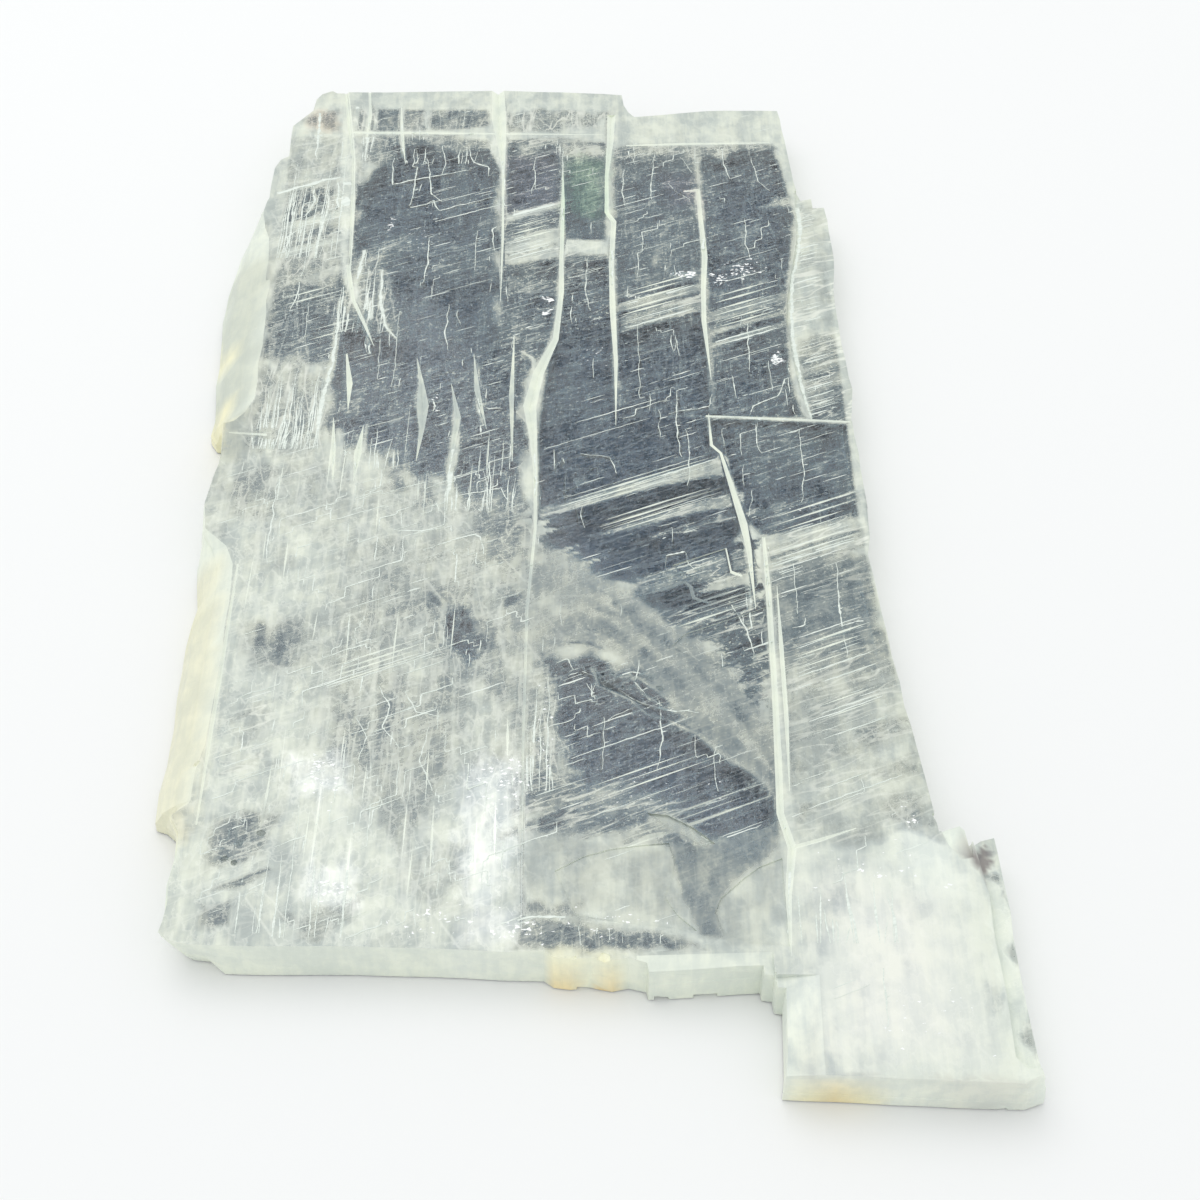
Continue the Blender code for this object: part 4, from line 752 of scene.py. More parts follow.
def webOf(tree, size, swirl, strength):
    # thin lines between cells of the given length and width in mm, their places pushed about by a noise
    place = node(tree, "ShaderNodeTexCoord")
    lay = node(tree, "ShaderNodeMapping", vector_type="TEXTURE")
    tree.links.new(place.outputs["Object"], lay.inputs["Vector"])
    lay.inputs["Scale"].default_value = (size[0] * mm, size[1] * mm, 1.0)
    push = node(tree, "ShaderNodeVectorMath", operation="MULTIPLY_ADD")
    put(tree, push.inputs[0], swirl)
    push.inputs[1].default_value = (strength, -strength, 0)
    tree.links.new(lay.outputs["Vector"], push.inputs[2])
    cells = node(tree, "ShaderNodeTexVoronoi", voronoi_dimensions="2D", feature="DISTANCE_TO_EDGE")
    tree.links.new(push.outputs["Vector"], cells.inputs["Vector"])
    cells.inputs["Scale"].default_value = 1.0
    cells.inputs["Randomness"].default_value = 0.85
    return spread(tree, cells.outputs["Distance"], 0.01, 0.075, 1.0, 0.0)


def seleniteMaterial():
    material, tree, shader, out = newMaterial("seleniteCrystal")
    milk = node(tree, "ShaderNodeAttribute", attribute_name="milk").outputs["Fac"]
    slantGain = node(tree, "ShaderNodeAttribute", attribute_name="slantStreaks").outputs["Fac"]
    yGain = node(tree, "ShaderNodeAttribute", attribute_name="yStreaks").outputs["Fac"]
    tint = node(tree, "ShaderNodeAttribute", attribute_name="tint").outputs["Color"]
    noises = [grain(tree, *values) for values in selenite["grains"]]
    largeCloud, smallCloud, alongY, alongSlant, wispY, wispSlant, dash, speck, lines, upright = noises
    wispY = threadOf(tree, wispY, 0.045)
    wispSlant = threadOf(tree, wispSlant, 0.035)
    busy = sums(tree, "MINIMUM", sums(tree, "ADD", slantGain, yGain), 1.0)
    calm = spread(tree, busy, 0.15, 0.60, selenite["calmClouds"], 1.0, "LINEAR")
    clouds = sums(tree, "ADD", offMiddle(tree, largeCloud, selenite["largeClouds"]),
                  offMiddle(tree, smallCloud, selenite["smallClouds"]))
    mix = sums(tree, "MULTIPLY_ADD", clouds, calm, milk)
    mix = sums(tree, "MULTIPLY_ADD", offMiddle(tree, alongY, selenite["yStreaks"]), yGain, mix)
    mix = sums(tree, "MULTIPLY_ADD", offMiddle(tree, alongSlant, selenite["slantStreaks"]), slantGain, mix)
    left = sums(tree, "SUBTRACT", 1.0, spread(tree, mix, 0.05, 0.95, 0.0, 0.97, "LINEAR"))
    slantBusy = sums(tree, "MINIMUM", slantGain, 0.9)
    yBusy = sums(tree, "MINIMUM", yGain, 0.9)
    veils = [
        (wispY, sums(tree, "MULTIPLY", yBusy, selenite["wisps"])),
        (wispSlant, sums(tree, "MULTIPLY", slantBusy, selenite["wisps"])),
        (spread(tree, dash, *selenite["dashes"]), busy),
        (spread(tree, lines, *selenite["lines"]), slantBusy),
        (spread(tree, upright, *selenite["uprights"]), yBusy),
        (spread(tree, speck, *selenite["specks"]), busy),
    ]
    for veil, where in veils:
        left = without(tree, left, sums(tree, "MULTIPLY", veil, where))
    web = sums(tree, "MULTIPLY", webOf(tree, (3.6, 5.2), smallCloud, 3.2), spread(tree, milk, 0.12, 0.45))
    web = sums(tree, "MULTIPLY", web, sums(tree, "MINIMUM", yGain, selenite["web"]))
    left = without(tree, left, web)
    cover = sums(tree, "SUBTRACT", 1.0, left)
    shade = sums(tree, "MULTIPLY_ADD", smallCloud, 0.45, sums(tree, "MULTIPLY", largeCloud, 0.30))
    shade = sums(tree, "MULTIPLY_ADD", alongY, 0.25, shade)
    milkTone = blendColour(tree, spread(tree, shade, 0.40, 0.62), selenite["milkDark"], selenite["milkPale"])
    milkTone = blendColour(tree, spread(tree, milk, 0.84, 0.97, 0.0, 0.5), milkTone, selenite["milkPale"])
    wisps = sums(tree, "MULTIPLY", wispSlant, slantBusy)
    wisps = sums(tree, "MAXIMUM", sums(tree, "MULTIPLY", wispY, yBusy), wisps)
    wisps = sums(tree, "MAXIMUM", wisps, sums(tree, "MULTIPLY", web, 1.6))
    milkTone = blendColour(tree, wisps, milkTone, selenite["wispPale"])
    milkTone = blendColour(tree, spread(tree, cover, 0.15, 0.62), selenite["thinMilk"], milkTone)
    milkTone = blendColour(tree, 1.0, milkTone, tint, "MULTIPLY")
    colour = blendColour(tree, spread(tree, cover, 0.0, 0.25), selenite["clearColour"], milkTone)
    put(tree, shader.inputs["Base Color"], colour)
    put(tree, shader.inputs["Transmission Weight"], left)
    gloss = spread(tree, cover, 0.1, 0.9, selenite["clearRoughness"], selenite["milkRoughness"], "LINEAR")
    put(tree, shader.inputs["Roughness"], gloss)
    shader.inputs["IOR"].default_value = selenite["ior"]
    height = sums(tree, "MULTIPLY", dash, spread(tree, milk, 0.0, 0.6, 0.15, 1.0))
    roughen(tree, shader, height, *selenite["bump"])
    soak = tree.nodes.new("ShaderNodeVolumeAbsorption")
    soak.inputs["Color"].default_value = selenite["absorbColour"]
    soak.inputs["Density"].default_value = selenite["absorbs"]
    tree.links.new(soak.outputs[0], out.inputs["Volume"])
    return material


veinSkin = {
    "tones": ((0.66, 0.72, 0.66, 1), (0.80, 0.85, 0.79, 1)),
    "mottled": (0.86, 0.88, 0.80, 1),
    "roughness": (0.30, 0.55),
    "bump": (0.4, 0.06),
}


def veinMaterial():
    material, tree, shader, out = newMaterial("seleniteVein")
    silk = grain(tree, (6, 0.4, 0.8), turn=slant, detail=4, rough=0.6)
    mottle = grain(tree, (2.5, 2.5, 2.5), detail=4, rough=0.6)
    tone = blendColour(tree, spread(tree, silk, 0.35, 0.65), *veinSkin["tones"])
    tone = blendColour(tree, spread(tree, mottle, 0.55, 0.8, 0.0, 0.5), tone, veinSkin["mottled"])
    put(tree, shader.inputs["Base Color"], tone)
    put(tree, shader.inputs["Roughness"], spread(tree, silk, 0.3, 0.7, *veinSkin["roughness"]))
    shader.inputs["IOR"].default_value = selenite["ior"]
    roughen(tree, shader, silk, *veinSkin["bump"])
    return material


glintSkin = {"tones": ((0.93, 0.95, 0.95, 1), (1.0, 1.0, 0.98, 1)), "roughness": (0.10, 0.30)}


def glintMaterial():
    material, tree, shader, out = newMaterial("seleniteGlint")
    spark = grain(tree, (0.4, 0.4, 0.4), detail=2)
    tone = blendColour(tree, spread(tree, spark, 0.4, 0.6), *glintSkin["tones"])
    put(tree, shader.inputs["Base Color"], tone)
    put(tree, shader.inputs["Roughness"], spread(tree, spark, 0.3, 0.7, *glintSkin["roughness"]))
    shader.inputs["IOR"].default_value = selenite["ior"]
    return material


crystalLook = seleniteMaterial()
veinLook = veinMaterial()
glintLook = glintMaterial()
print("materials made")


# the slab
outlineRough = [(-60, 50), (-57, 110), (-50, 115), (7, 113), (8, 106), (38, 106), (39, 80), (46, 74),
                (46, -15), (50, -68), (56, -78), (57, -110), (29, -108), (28, -92), (-52, -92), (-57, -70),
                (-60, -20)]
# grooves of the CAD shape that hardly show: least milk of their sides and the outline around them
faintGrooves = [
    (.05, [(-1, -41), (20, -41), (20, -57), (-1, -57)]),
    (.80, [(-10, -22), (-6, -22), (-6, -94), (-10, -94)]),
    (.55, [(8, -68), (22, -68), (22, -78), (8, -78)]),
    (.84, [(-34, 32), (-10, 32), (-10, -5), (-34, -5)]),
    (.40, [(9, -22), (23, -22), (23, -30), (9, -30)]),
    (.40, [(-53, -69), (-42, -69), (-42, -91), (-53, -91)]),
    (.0, [(24, -90), (33.5, -90), (33.5, -113), (24, -113)]),
]
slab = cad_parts["selenite_slab"]
verts, faces, kinds = crystalSkin(slab)
verts[:, 2] = np.minimum(verts[:, 2], thickness - skin["sunk"])     # room for fine lines in the CAD box
crystal = meshFrom("crystalSlab", verts, faces, crystalLook)
corner = faces.ravel()
kind = np.repeat(kinds, 3)
planX = verts[:, 0] - middle[0]
planY = verts[:, 1] - middle[1]
milk, slantStreaks, yStreaks = milkAt(planX, planY)
rim = np.zeros(len(verts), bool)
rim[faces[kinds == 0].ravel()] = True
rim &= depthInside(planX, planY, outlineRough) < 1.0
milkTop = np.where(rim, np.maximum(milk, skin["rimMilk"]), milk)
shallow = np.repeat(verts[faces][:, :, 2].min(axis=1) > thickness - skin["shallow"], 3)
wallMilk = np.full(len(corner), skin["wallMilk"])
for faintMilk, outline in faintGrooves:
    near = shallow & (depthInside(planX[corner], planY[corner], outline) > 0)
    wallMilk[near] = np.maximum(faintMilk, milk[corner][near])
onWall = kind == 0
cornerMilk = np.where(onWall, wallMilk, milkTop[corner])
cornerMilk = np.where(kind < 0, skin["underMilk"] * milk[corner], cornerMilk)
foot = np.clip(1 - verts[:, 2] / thickness, 0, 1)
# one colour factor for each corner: the stains, the pearly sheen painted in as a highlight, and the walls'
# brightness
tint = stainAndSheenAt(planX, planY, foot)[corner] * np.where(onWall, skin["wallTint"], 1.0)[:, None]
setValues(crystal.data, "milk", cornerMilk)
setValues(crystal.data, "slantStreaks", np.where(onWall, skin["streaksOnWalls"], slantStreaks[corner]))
setValues(crystal.data, "yStreaks", np.where(onWall, skin["streaksOnWalls"], yStreaks[corner]))
setColours(crystal.data, "tint", tint)
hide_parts("selenite_slab")
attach(crystal, "root")
print("crystal skin", len(faces), "triangles")


# cracks, fibres and glints hang below the roof, the top skin over them
roofCells = (160, 260)      # cells of 1 mm, the origin in their middle


def cellAt(x, y):
    column = np.clip(np.floor(x).astype(int) + roofCells[0] // 2, 0, roofCells[0] - 1)
    row = np.clip(np.floor(y).astype(int) + roofCells[1] // 2, 0, roofCells[1] - 1)
    return column, row


def roofMap(verts, faces):
    # lowest height of the upward skin in each cell and its eight neighbours, 0 where there is none
    a, b, c = verts[faces[:, 0]], verts[faces[:, 1]], verts[faces[:, 2]]
    cross = np.cross(b - a, c - a)
    upward = faces[cross[:, 2] > 0.5 * np.linalg.norm(cross, axis=1)]
    marks = np.concatenate([verts[upward.ravel()], verts[upward].mean(axis=1)])
    cells = np.full(roofCells, np.inf)
    np.minimum.at(cells, cellAt(marks[:, 0], marks[:, 1]), marks[:, 2])
    cells[np.isinf(cells)] = 0.0
    lowest = cells.copy()
    for dx in (-1, 0, 1):
        for dy in (-1, 0, 1):
            lowest = np.minimum(lowest, np.roll(cells, (dx, dy), axis=(0, 1)))
    return lowest


roof = roofMap(verts, faces)


def roofAt(x, y):
    return roof[cellAt(x + middle[0], y + middle[1])]


leastCeiling = 5.5      # lines stay off the ledges of the walls


def longestRun(good):
    # start and end of the longest stretch that is good from one end to the other
    edges = np.flatnonzero(np.diff(np.concatenate([[0], good.astype(int), [0]])))
    if len(edges) == 0:
        return 0, 0
    starts = edges[::2]
    ends = edges[1::2]
    best = np.argmax(ends - starts)
    return starts[best], ends[best]


def drawnOut(points, step):
    # a path through the points, resampled at even steps of its length; columns after x and y follow along
    points = np.asarray(points, float)
    lengths = np.hypot(*np.diff(points[:, :2], axis=0).T)
    along = np.concatenate([[0], np.cumsum(lengths)])
    count = max(3, int(round(along[-1] / step)) + 1)
    at = np.linspace(0, along[-1], count)
    return np.stack([np.interp(at, along, points[:, k]) for k in range(points.shape[1])], axis=1)


def closedTube(ring, turned):
    # equal rings of points, one list of places for each of their corners, joined by four-sided faces and
    # closed at both ends; turned where the corners run the other way round
    count = len(ring[0])
    sides = len(ring)
    verts = np.stack(ring, axis=1).reshape(-1, 3)
    i = np.arange(count - 1)[:, None] * sides
    j = np.arange(sides)[None, :]
    k = (j + 1) % sides
    quad = [i + j, i + k, i + sides + k, i + sides + j]
    last = (count - 1) * sides
    caps = [list(range(sides))[::-1], list(range(last, last + sides))]
    if turned:
        quad = [quad[0], quad[3], quad[2], quad[1]]
        caps = [cap[::-1] for cap in caps]
    return verts, np.stack(quad, axis=-1).reshape(-1, 4).tolist() + caps


def bladeAlong(points, step, gap, depth, ragged, chance):
    # a six-sided profile, wide at the top and thin at its foot, carried along the path under the roof and
    # closed at both ends
    path = drawnOut(points, step)
    ceiling = roofAt(path[:, 0], path[:, 1])
    first, last = longestRun(ceiling > leastCeiling)
    path = path[first:last]
    top = ceiling[first:last] - gap - chance.uniform(0, 0.02)
    count = len(path)
    if count < 3:
        return None
    run = np.gradient(path[:, :2], axis=0)
    run /= np.maximum(np.hypot(run[:, 0], run[:, 1]), 1e-9)[:, None]
    across = np.stack([run[:, 1], -run[:, 0]], axis=1)
    wander = chance.normal(0, 1, count)
    wander = np.convolve(np.pad(wander, 2, "edge"), [0.15, 0.2, 0.3, 0.2, 0.15], "valid")
    half = path[:, 2] * (1 + 0.9 * ragged * chance.normal(0, 1, count))
    half = np.clip(half, 0.03, None)
    line = path[:, :2] + across * (ragged * 0.55 * wander)[:, None]
    foot = np.clip(depth * (1 + 0.5 * ragged * chance.normal(0, 1, count)), 0.3 * depth, top - 0.25)
    lean = chance.uniform(-0.2, 0.2)
    sides = [(-1.0, 0.0), (1.0, 0.0), (0.75, 0.12), (0.25, 1.0), (-0.25, 1.0), (-0.75, 0.12)]
    ring = []
    for side, drop in sides:
        place = line + across * (half * side + lean * foot * drop)[:, None]
        ring.append(np.concatenate([place, (top - foot * drop)[:, None]], axis=1))
    return closedTube(ring, False)


def fibreLath(x, y, length, width, gap, depth, chance):
    # a flat spindle along the slant that follows the roof; its width swells as the root of a sine
    run = np.array([math.cos(slant), math.sin(slant)])
    pace = min(0.9, length / 3)
    steps = np.arange(0, length + 0.5 * pace, pace)
    ceiling = roofAt(x + steps * run[0], y + steps * run[1])
    first, last = longestRun(ceiling > leastCeiling)
    count = last - first
    if count < 3:
        return None
    top = ceiling[first:last] - gap - chance.uniform(0, 0.02)
    steps = steps[first:last]
    t = np.linspace(0, 1, count)
    swell = np.sqrt(np.clip(np.sin(math.pi * (0.04 + 0.92 * t)), 0, 1))
    swell = swell * (1 + 0.12 * chance.normal(0, 1, count))
    half = 0.5 * width * np.clip(swell, 0.1, None)
    across = np.array([-math.sin(slant), math.cos(slant)])
    line = np.array([x, y]) + run * steps[:, None] + across * (0.04 * chance.normal(0, 1, count))[:, None]
    tilt = chance.uniform(-0.5, 0.5)
    ring = []
    for side, drop in [(-1, 0.12), (0, 0.0), (1, 0.12), (0.2, 1.0)]:
        rise = np.minimum(top - depth * drop + half * side * tilt, top)
        ring.append(np.concatenate([line + across * (half * side)[:, None], rise[:, None]], axis=1))
    return closedTube(ring, True)


def joined(name, shapes, material):
    verts = []
    faces = []
    start = 0
    for shape in shapes:
        if shape is None:
            continue
        verts.append(shape[0])
        faces += [[start + v for v in face] for face in shape[1]]
        start += len(shape[0])
    verts = np.concatenate(verts)
    verts[:, 0] += middle[0]
    verts[:, 1] += middle[1]
    piece = meshFrom(name, verts, faces, material)
    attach(piece, "root")
    print(name, len(faces), "faces")
    return piece


proud = -0.045      # gap below the roof; less than 0 stands out of the skin, which is sunk more than that
# the whitest and sharpest of the soft lines go down into the crystal as thin walls
veins = {
    "step": 0.5, "ragged": 0.34, "width": 0.62, "depth": (3.5, 6.6),
    "leastMilk": 0.7, "softest": 0.75,
    "spurPitch": 2.6, "spurShare": 0.6,     # places where a short fibre starts from a vein
}
chance = np.random.default_rng(31)
shapes = []
spurs = []
for milkOfLine, softness, line in milkStrokes:
    if milkOfLine < veins["leastMilk"] or softness > veins["softest"]:
        continue
    line = [(px, py, half * veins["width"]) for px, py, half in line]
    for px, py, half in drawnOut(line, veins["spurPitch"]):
        if chance.random() < veins["spurShare"]:
            spurs.append((px, py, half))
    depth = chance.uniform(*veins["depth"])
    shapes.append(bladeAlong(line, veins["step"], proud, depth, veins["ragged"], chance))
joined("longVeins", shapes, veinLook)

# bands of fibres at the second cleavage angle
bands = {
    "depth": 0.5, "widths": [0.35, 0.7, 1.4],
    # start x and y, length along x, width across, fibres, share filled
    "rows": [
        (6.4, 43.3, 15.8, 2.6, 3, .7), (7.2, 38.0, 14.8, 4.2, 5, .8), (22.9, 41.0, 14.2, 2.6, 3, .8),
        (22.9, 37.1, 14.0, 1.2, 2, .6), (22.9, 33.6, 14.0, 1.5, 2, .6), (22.9, 38.7, 14.0, 2.2, 4, .3),
        (-14.6, 58.6, 10.2, 6.2, 7, .8), (-14.6, 71.3, 10.6, 1.8, 2, .9),
        (-55.6, 68.8, 10.0, 2.2, 3, .6), (-55.6, 60.6, 10.0, 1.8, 2, .6),
        (-55.2, 42.8, 14.2, 3.6, 4, .2), (-50, 34.6, 11, 3.2, 3, .2), (-6.0, -9.4, 30, 3.2, 4, .5),
        (2, -13.4, 24.6, 3.0, 4, .4), (10.4, -26.2, 13, 4.0, 5, .25), (14.4, -36, 13.8, 6.0, 5, .2),
        (30.0, -22.4, 16.2, 3.6, 5, .6), (30.0, -18.2, 16.2, 3.6, 5, .6), (31.2, -46, 15.4, 7.2, 3, .2),
        (33, -58, 15.8, 6.4, 4, .2), (-51.8, -83, 9.6, 1.2, 2, .4), (-41, -48, 19.5, 3.6, 4, .3),
        (38.4, 16, 8, 20, 16, .3), (38.6, 40, 7.6, 36, 22, .25),
    ],
}
shapes = []
for startX, startY, lengthX, across, count, share in bands["rows"]:
    pitch = across / count
    for number in range(count):
        width = pitch * share * chance.choice(bands["widths"]) * chance.uniform(0.8, 1.2) * math.cos(slant)
        x = startX + chance.uniform(0.0, 0.03 + 0.25 * (1 - share)) * lengthX
        endX = startX + lengthX * (1 - chance.uniform(0.0, 0.02 + 0.35 * (1 - share)))
        y = startY + (number + 0.5 + chance.uniform(-0.45, 0.45)) * pitch + (x - startX) * math.tan(slant)
        length = (endX - x) / math.cos(slant)
        shapes.append(fibreLath(x, y, length, width, proud, bands["depth"], chance))
joined("fibreBands", shapes, veinLook)

# fine bright lines along the slant, each broken into a few fibres
threads = {
    "widest": 0.26, "depth": 0.14, "waver": 0.12, "gaps": [proud, proud, 0.5],
    # start x and y, length along x
    "lines": [
        (-55.5, 43, 8), (-50.5, 34.5, 12), (-45, 28, 9), (-42, 10, 12), (-35, 8, 8), (-23, 5, 7),
        (-20, 7, 8), (-17, 23, 5.5), (-18.5, 28, 7), (-38, 62, 6), (-30, 66, 9), (-28, 71, 12),
        (-33, 75.4, 17), (-37, 83, 15), (-30, 57, 13), (-27, 50, 11), (-36, 44, 8), (-26, 36, 12),
        (-14.6, 84, 9.8), (-14.6, 79.6, 5), (-10, 88, 5.6), (-14.6, 94, 9.8), (-14.4, 52, 9),
        (-14.2, 44, 6), (-12.6, 38, 5), (-3.6, 84, 7), (-3.6, 57, 8), (-3.4, 50, 7), (-3.8, 42, 9),
        (-4.6, 34, 9.6), (-5, 23, 9.6), (-3, 8.5, 15), (-1, 13.5, 14), (0, 18, 5), (-6, 3, 9),
        (5.8, 75.5, 10), (6.2, 60, 9), (8, 67, 12), (7.4, 84, 7), (12, 72, 10), (6.6, 46.8, 4.4),
        (6.5, 47.8, 3.6), (8, 27, 6), (8.4, 31.6, 13), (9, 22.6, 7), (14, 33.4, 8), (7, 19, 9),
        (16, 26, 6), (24, 82, 14), (24, 76, 10), (23.4, 68, 9), (24, 62, 7), (27, 58.6, 9), (25, 52, 9),
        (24, 29.6, 12), (23.6, 24.6, 9), (30, 50.4, 6), (27, 20, 8), (30, 8.5, 7), (33, 6, 12),
        (26, 3, 13), (28.4, -2.4, 12), (30, 12, 14), (8, 9, 9), (12, 4, 9), (-3, -3, 10),
        (7.5, -4.6, 9), (31, -27, 14), (30.5, -44.5, 5.5), (37, -45, 10), (34, -36, 12), (14, -34, 10),
        (14.4, -35, 9.6), (18, -26, 12), (10, -16, 9), (16, -11.5, 9), (-38, -46, 5), (-30, -43.5, 10),
        (-26, -43.5, 6), (-50, -16, 14), (-46, -17, 3), (-54, -24, 8), (-38, -31, 13), (-34, -35, 12),
        (-20, -49, 11), (-36, -57, 15), (-4, -69, 24), (2, -70.5, 26), (10, -72, 18), (4, -78, 12),
        (18, -75.5, 11), (-2, -56, 15), (-1, -60, 18), (2, -50, 13), (-3, -46, 12), (32, -64, 16),
        (33, -69, 14), (34, -75, 15), (36, -81, 17), (-44, -62, 8), (-50, -54, 5), (-50, -59, 5),
        (-14, 104, 11), (-34, 103, 14), (-44, 104, 6), (7, 95.5, 30),
    ],
}
shapes = []
for startX, startY, lengthX in threads["lines"]:
    pieces = chance.integers(1, 4)
    cuts = np.sort(chance.uniform(0, 1, 2 * pieces - 2)) if pieces > 1 else []
    ends = np.concatenate([[0], cuts, [1]]).reshape(-1, 2)
    for begin, finish in ends:
        x = startX + begin * lengthX
        y = startY + begin * lengthX * math.tan(slant) + chance.normal(0, threads["waver"])
        length = (finish - begin) * lengthX / math.cos(slant)
        width = threads["widest"] * chance.uniform(0.35, 1.0)
        gap = chance.choice(threads["gaps"])
        shapes.append(fibreLath(x, y, length, width, gap, threads["depth"], chance))
joined("slantThreads", shapes, veinLook)

# single fibres all over the slab, shallow and deep, more of them where the slant streaks are strong, and the
# short ones that start from the veins
stray = {
    "count": 620, "tries": 4000, "longest": 10.0, "widest": 0.17, "depth": 0.12,
    "gaps": [proud, proud, 0.3, 2.5],
    "spurLength": 1.3, "spurWidth": (0.10, 0.24), "spurDepth": 0.15,
}
x = chance.uniform(-60, 58, stray["tries"])
y = chance.uniform(-112, 113, stray["tries"])
length = stray["longest"] * chance.beta(1.2, 3.2, stray["tries"]) + 1.0
streaks = milkAt(x, y)[1]
held = (depthInside(x, y, outlineRough) > 1.0) & (chance.random(stray["tries"]) < 1.8 * streaks)
shapes = []
for n in np.nonzero(held)[0][:stray["count"]]:
    width = stray["widest"] * chance.uniform(0.35, 1.0)
    gap = chance.choice(stray["gaps"])
    shapes.append(fibreLath(x[n], y[n], length[n], width, gap, stray["depth"], chance))
for px, py, half in spurs:
    reach = 0.5 + chance.exponential(stray["spurLength"])
    back = chance.choice([0.0, 1.0]) * reach
    width = chance.uniform(*stray["spurWidth"])
    shapes.append(fibreLath(px - back * math.cos(slant), py - back * math.sin(slant), reach + half, width,
                            proud, stray["spurDepth"], chance))
joined("strayFibres", shapes, veinLook)

# fine cracks read from the photograph, with short fibres that start from them
cracks = {
    "half": 0.13, "step": 0.45, "depth": (0.6, 2.6), "ragged": 0.35,
    "spurPitch": 2.4, "spurShare": 0.4, "spurWidth": (0.09, 0.18), "spurDepth": 0.12,
    # places along each crack
    "lines": [
        [(-33.4, 95), (-33.4, 89), (-32.3, 89), (-32.7, 82), (-33, 76)],
        [(-30.6, 92), (-29.8, 85), (-29.3, 80), (-27, 77.5)],
        [(-33, 75.5), (-30, 76.5), (-28.5, 78), (-28.3, 76), (-27.3, 74.5), (-24, 76), (-15.5, 79.5)],
        [(-37.3, 92), (-37, 83), (-30, 85.5), (-22, 88)],
        [(-22.7, 95), (-21.8, 92), (-21.5, 90.5), (-18.5, 89), (-18.5, 86)],
        [(-15.5, 70), (-17, 68.5), (-16.5, 62)], [(-4, 95), (-4, 80), (-3.9, 75)],
        [(-5.3, 98), (-5.2, 93)], [(10, 98), (10, 90)], [(13.8, 91), (13.3, 84), (13, 78)],
        [(22, 97), (22, 88)], [(27.3, 97), (27.5, 90), (28.5, 85)], [(19.5, 92), (21, 87)],
        [(16.5, 83.5), (18.5, 80), (20.5, 78)], [(18.5, 80.2), (21.5, 81.5), (22.7, 80)],
        [(24.3, 63), (24, 58)], [(-51.5, 60), (-52, 48), (-53, 44)],
        [(-38.5, 46), (-38.3, 38), (-37.5, 32)], [(-35.8, 36), (-35.5, 25)], [(-33, 44), (-32.8, 23)],
        [(-41, 32), (-40.6, 26), (-40, 18)], [(-28.5, 31), (-28.2, 24)],
        [(-26, 21), (-25, 18), (-26.2, 14)], [(-17.8, 19), (-16, 17.2), (-13, 17.5)],
        [(-12.3, 37), (-12, 28), (-11.8, 20)], [(-11.5, 15), (-11.8, 2)],
        [(29, 15), (29.5, 18), (34, 20.5), (35, 23), (35.5, 25), (36.7, 25.5)],
        [(29.7, 45), (29.7, 36), (29.5, 27)], [(13.5, 17), (13.5, 10)],
        [(16.5, 22), (16.4, 12), (16.8, 5)], [(23, 21), (22, 18), (15, 16)], [(24, 12), (24.8, 3)],
        [(30, 14), (29.8, 8), (30.5, 6)], [(7.2, 44), (7.4, 30), (6.6, 18)], [(5, 5), (5.6, 3), (6, 1)],
        [(0, 5.6), (5, 5.2)], [(-50, 0), (-50.2, -10), (-50, -20)],
        [(-30, -12.5), (-26, -12.8), (-22, -12)], [(-25, -17), (-17, -13.3), (-16, -14), (-15.5, -18)],
        [(-20, -4.5), (-17, -3.5), (-13, -2.5), (-12, -6)], [(27, 3), (27, -2)],
        [(28.5, -3), (27.2, -12)], [(29, -14), (29.8, -24), (30.3, -50)], [(30.8, -25), (31.5, -52)],
        [(13.8, -21), (14, -18.2), (17, -17.3), (17.2, -19), (18.2, -21)],
        [(24, -29), (26.2, -35), (26.8, -40)], [(33, -34), (35, -33.5), (35.5, -32)],
        [(40, -34), (43, -32.5), (45.5, -32.8)], [(3, -44), (5.6, -43.4)], [(3, -44), (2, -47.4)],
        [(3, -44), (4.6, -46.4)], [(3, -44), (.6, -43)], [(3.4, -45), (8, -43), (12, -43.6)],
        [(6, -46.4), (10, -49.6), (13, -50.6), (18, -51.2)], [(4.4, -52.6), (8.6, -49.8)],
        [(-3.4, -41), (-1.6, -40.4), (-.6, -42.6)], [(8.6, -45), (10.6, -48.4)],
        [(1.4, -45.4), (2.4, -48.6)], [(-30, -46), (-28, -50), (-29, -54), (-26, -58)],
        [(-26, -47), (-24, -51), (-21, -52)], [(-33, -52), (-31, -56), (-32, -60)],
        [(-22, -54), (-23, -60), (-21, -66)], [(-49.6, 46), (-49.4, 36)], [(.5, -89.4), (.6, -92.2)],
        [(4.5, -89.2), (4.6, -92.2)], [(6.5, -89.2), (6.5, -92)], [(11.5, -89.8), (11.4, -92)],
        [(41, -96), (41.2, -100), (41, -105)], [(-47, 82), (-47.5, 72)], [(-24, 108), (-24.2, 103)],
        [(-28, 96), (-27, 91), (-27.6, 86)], [(8, 88), (7.6, 80), (8.2, 76)],
        [(33, 92), (34, 84), (36, 81)], [(10.5, 60), (10.2, 54)], [(31, 72), (30.6, 64), (31.4, 60)],
        [(1, 60), (.6, 50), (1.4, 44)], [(-9.6, 92), (-9.4, 84), (-10, 80)],
        [(18, 12), (18.4, 2), (17.6, -2)], [(37, 12), (37.4, 2), (36.4, -6)], [(10, 40), (10.2, 20)],
        [(34, -20), (34.2, -31)], [(41, -20), (40.6, -30), (41.2, -40)], [(33, 30), (33.2, 22)],
        [(-24, 46), (-24.4, 38), (-23.6, 33)], [(-29, 66), (-28.6, 58), (-29.4, 52)],
        [(-20, 68), (-19.8, 56)], [(12, -48), (12.4, -56), (11.8, -62)], [(20, -58), (20, -66)],
        [(4, -52), (3.8, -62)],
    ],
}
shapes = []
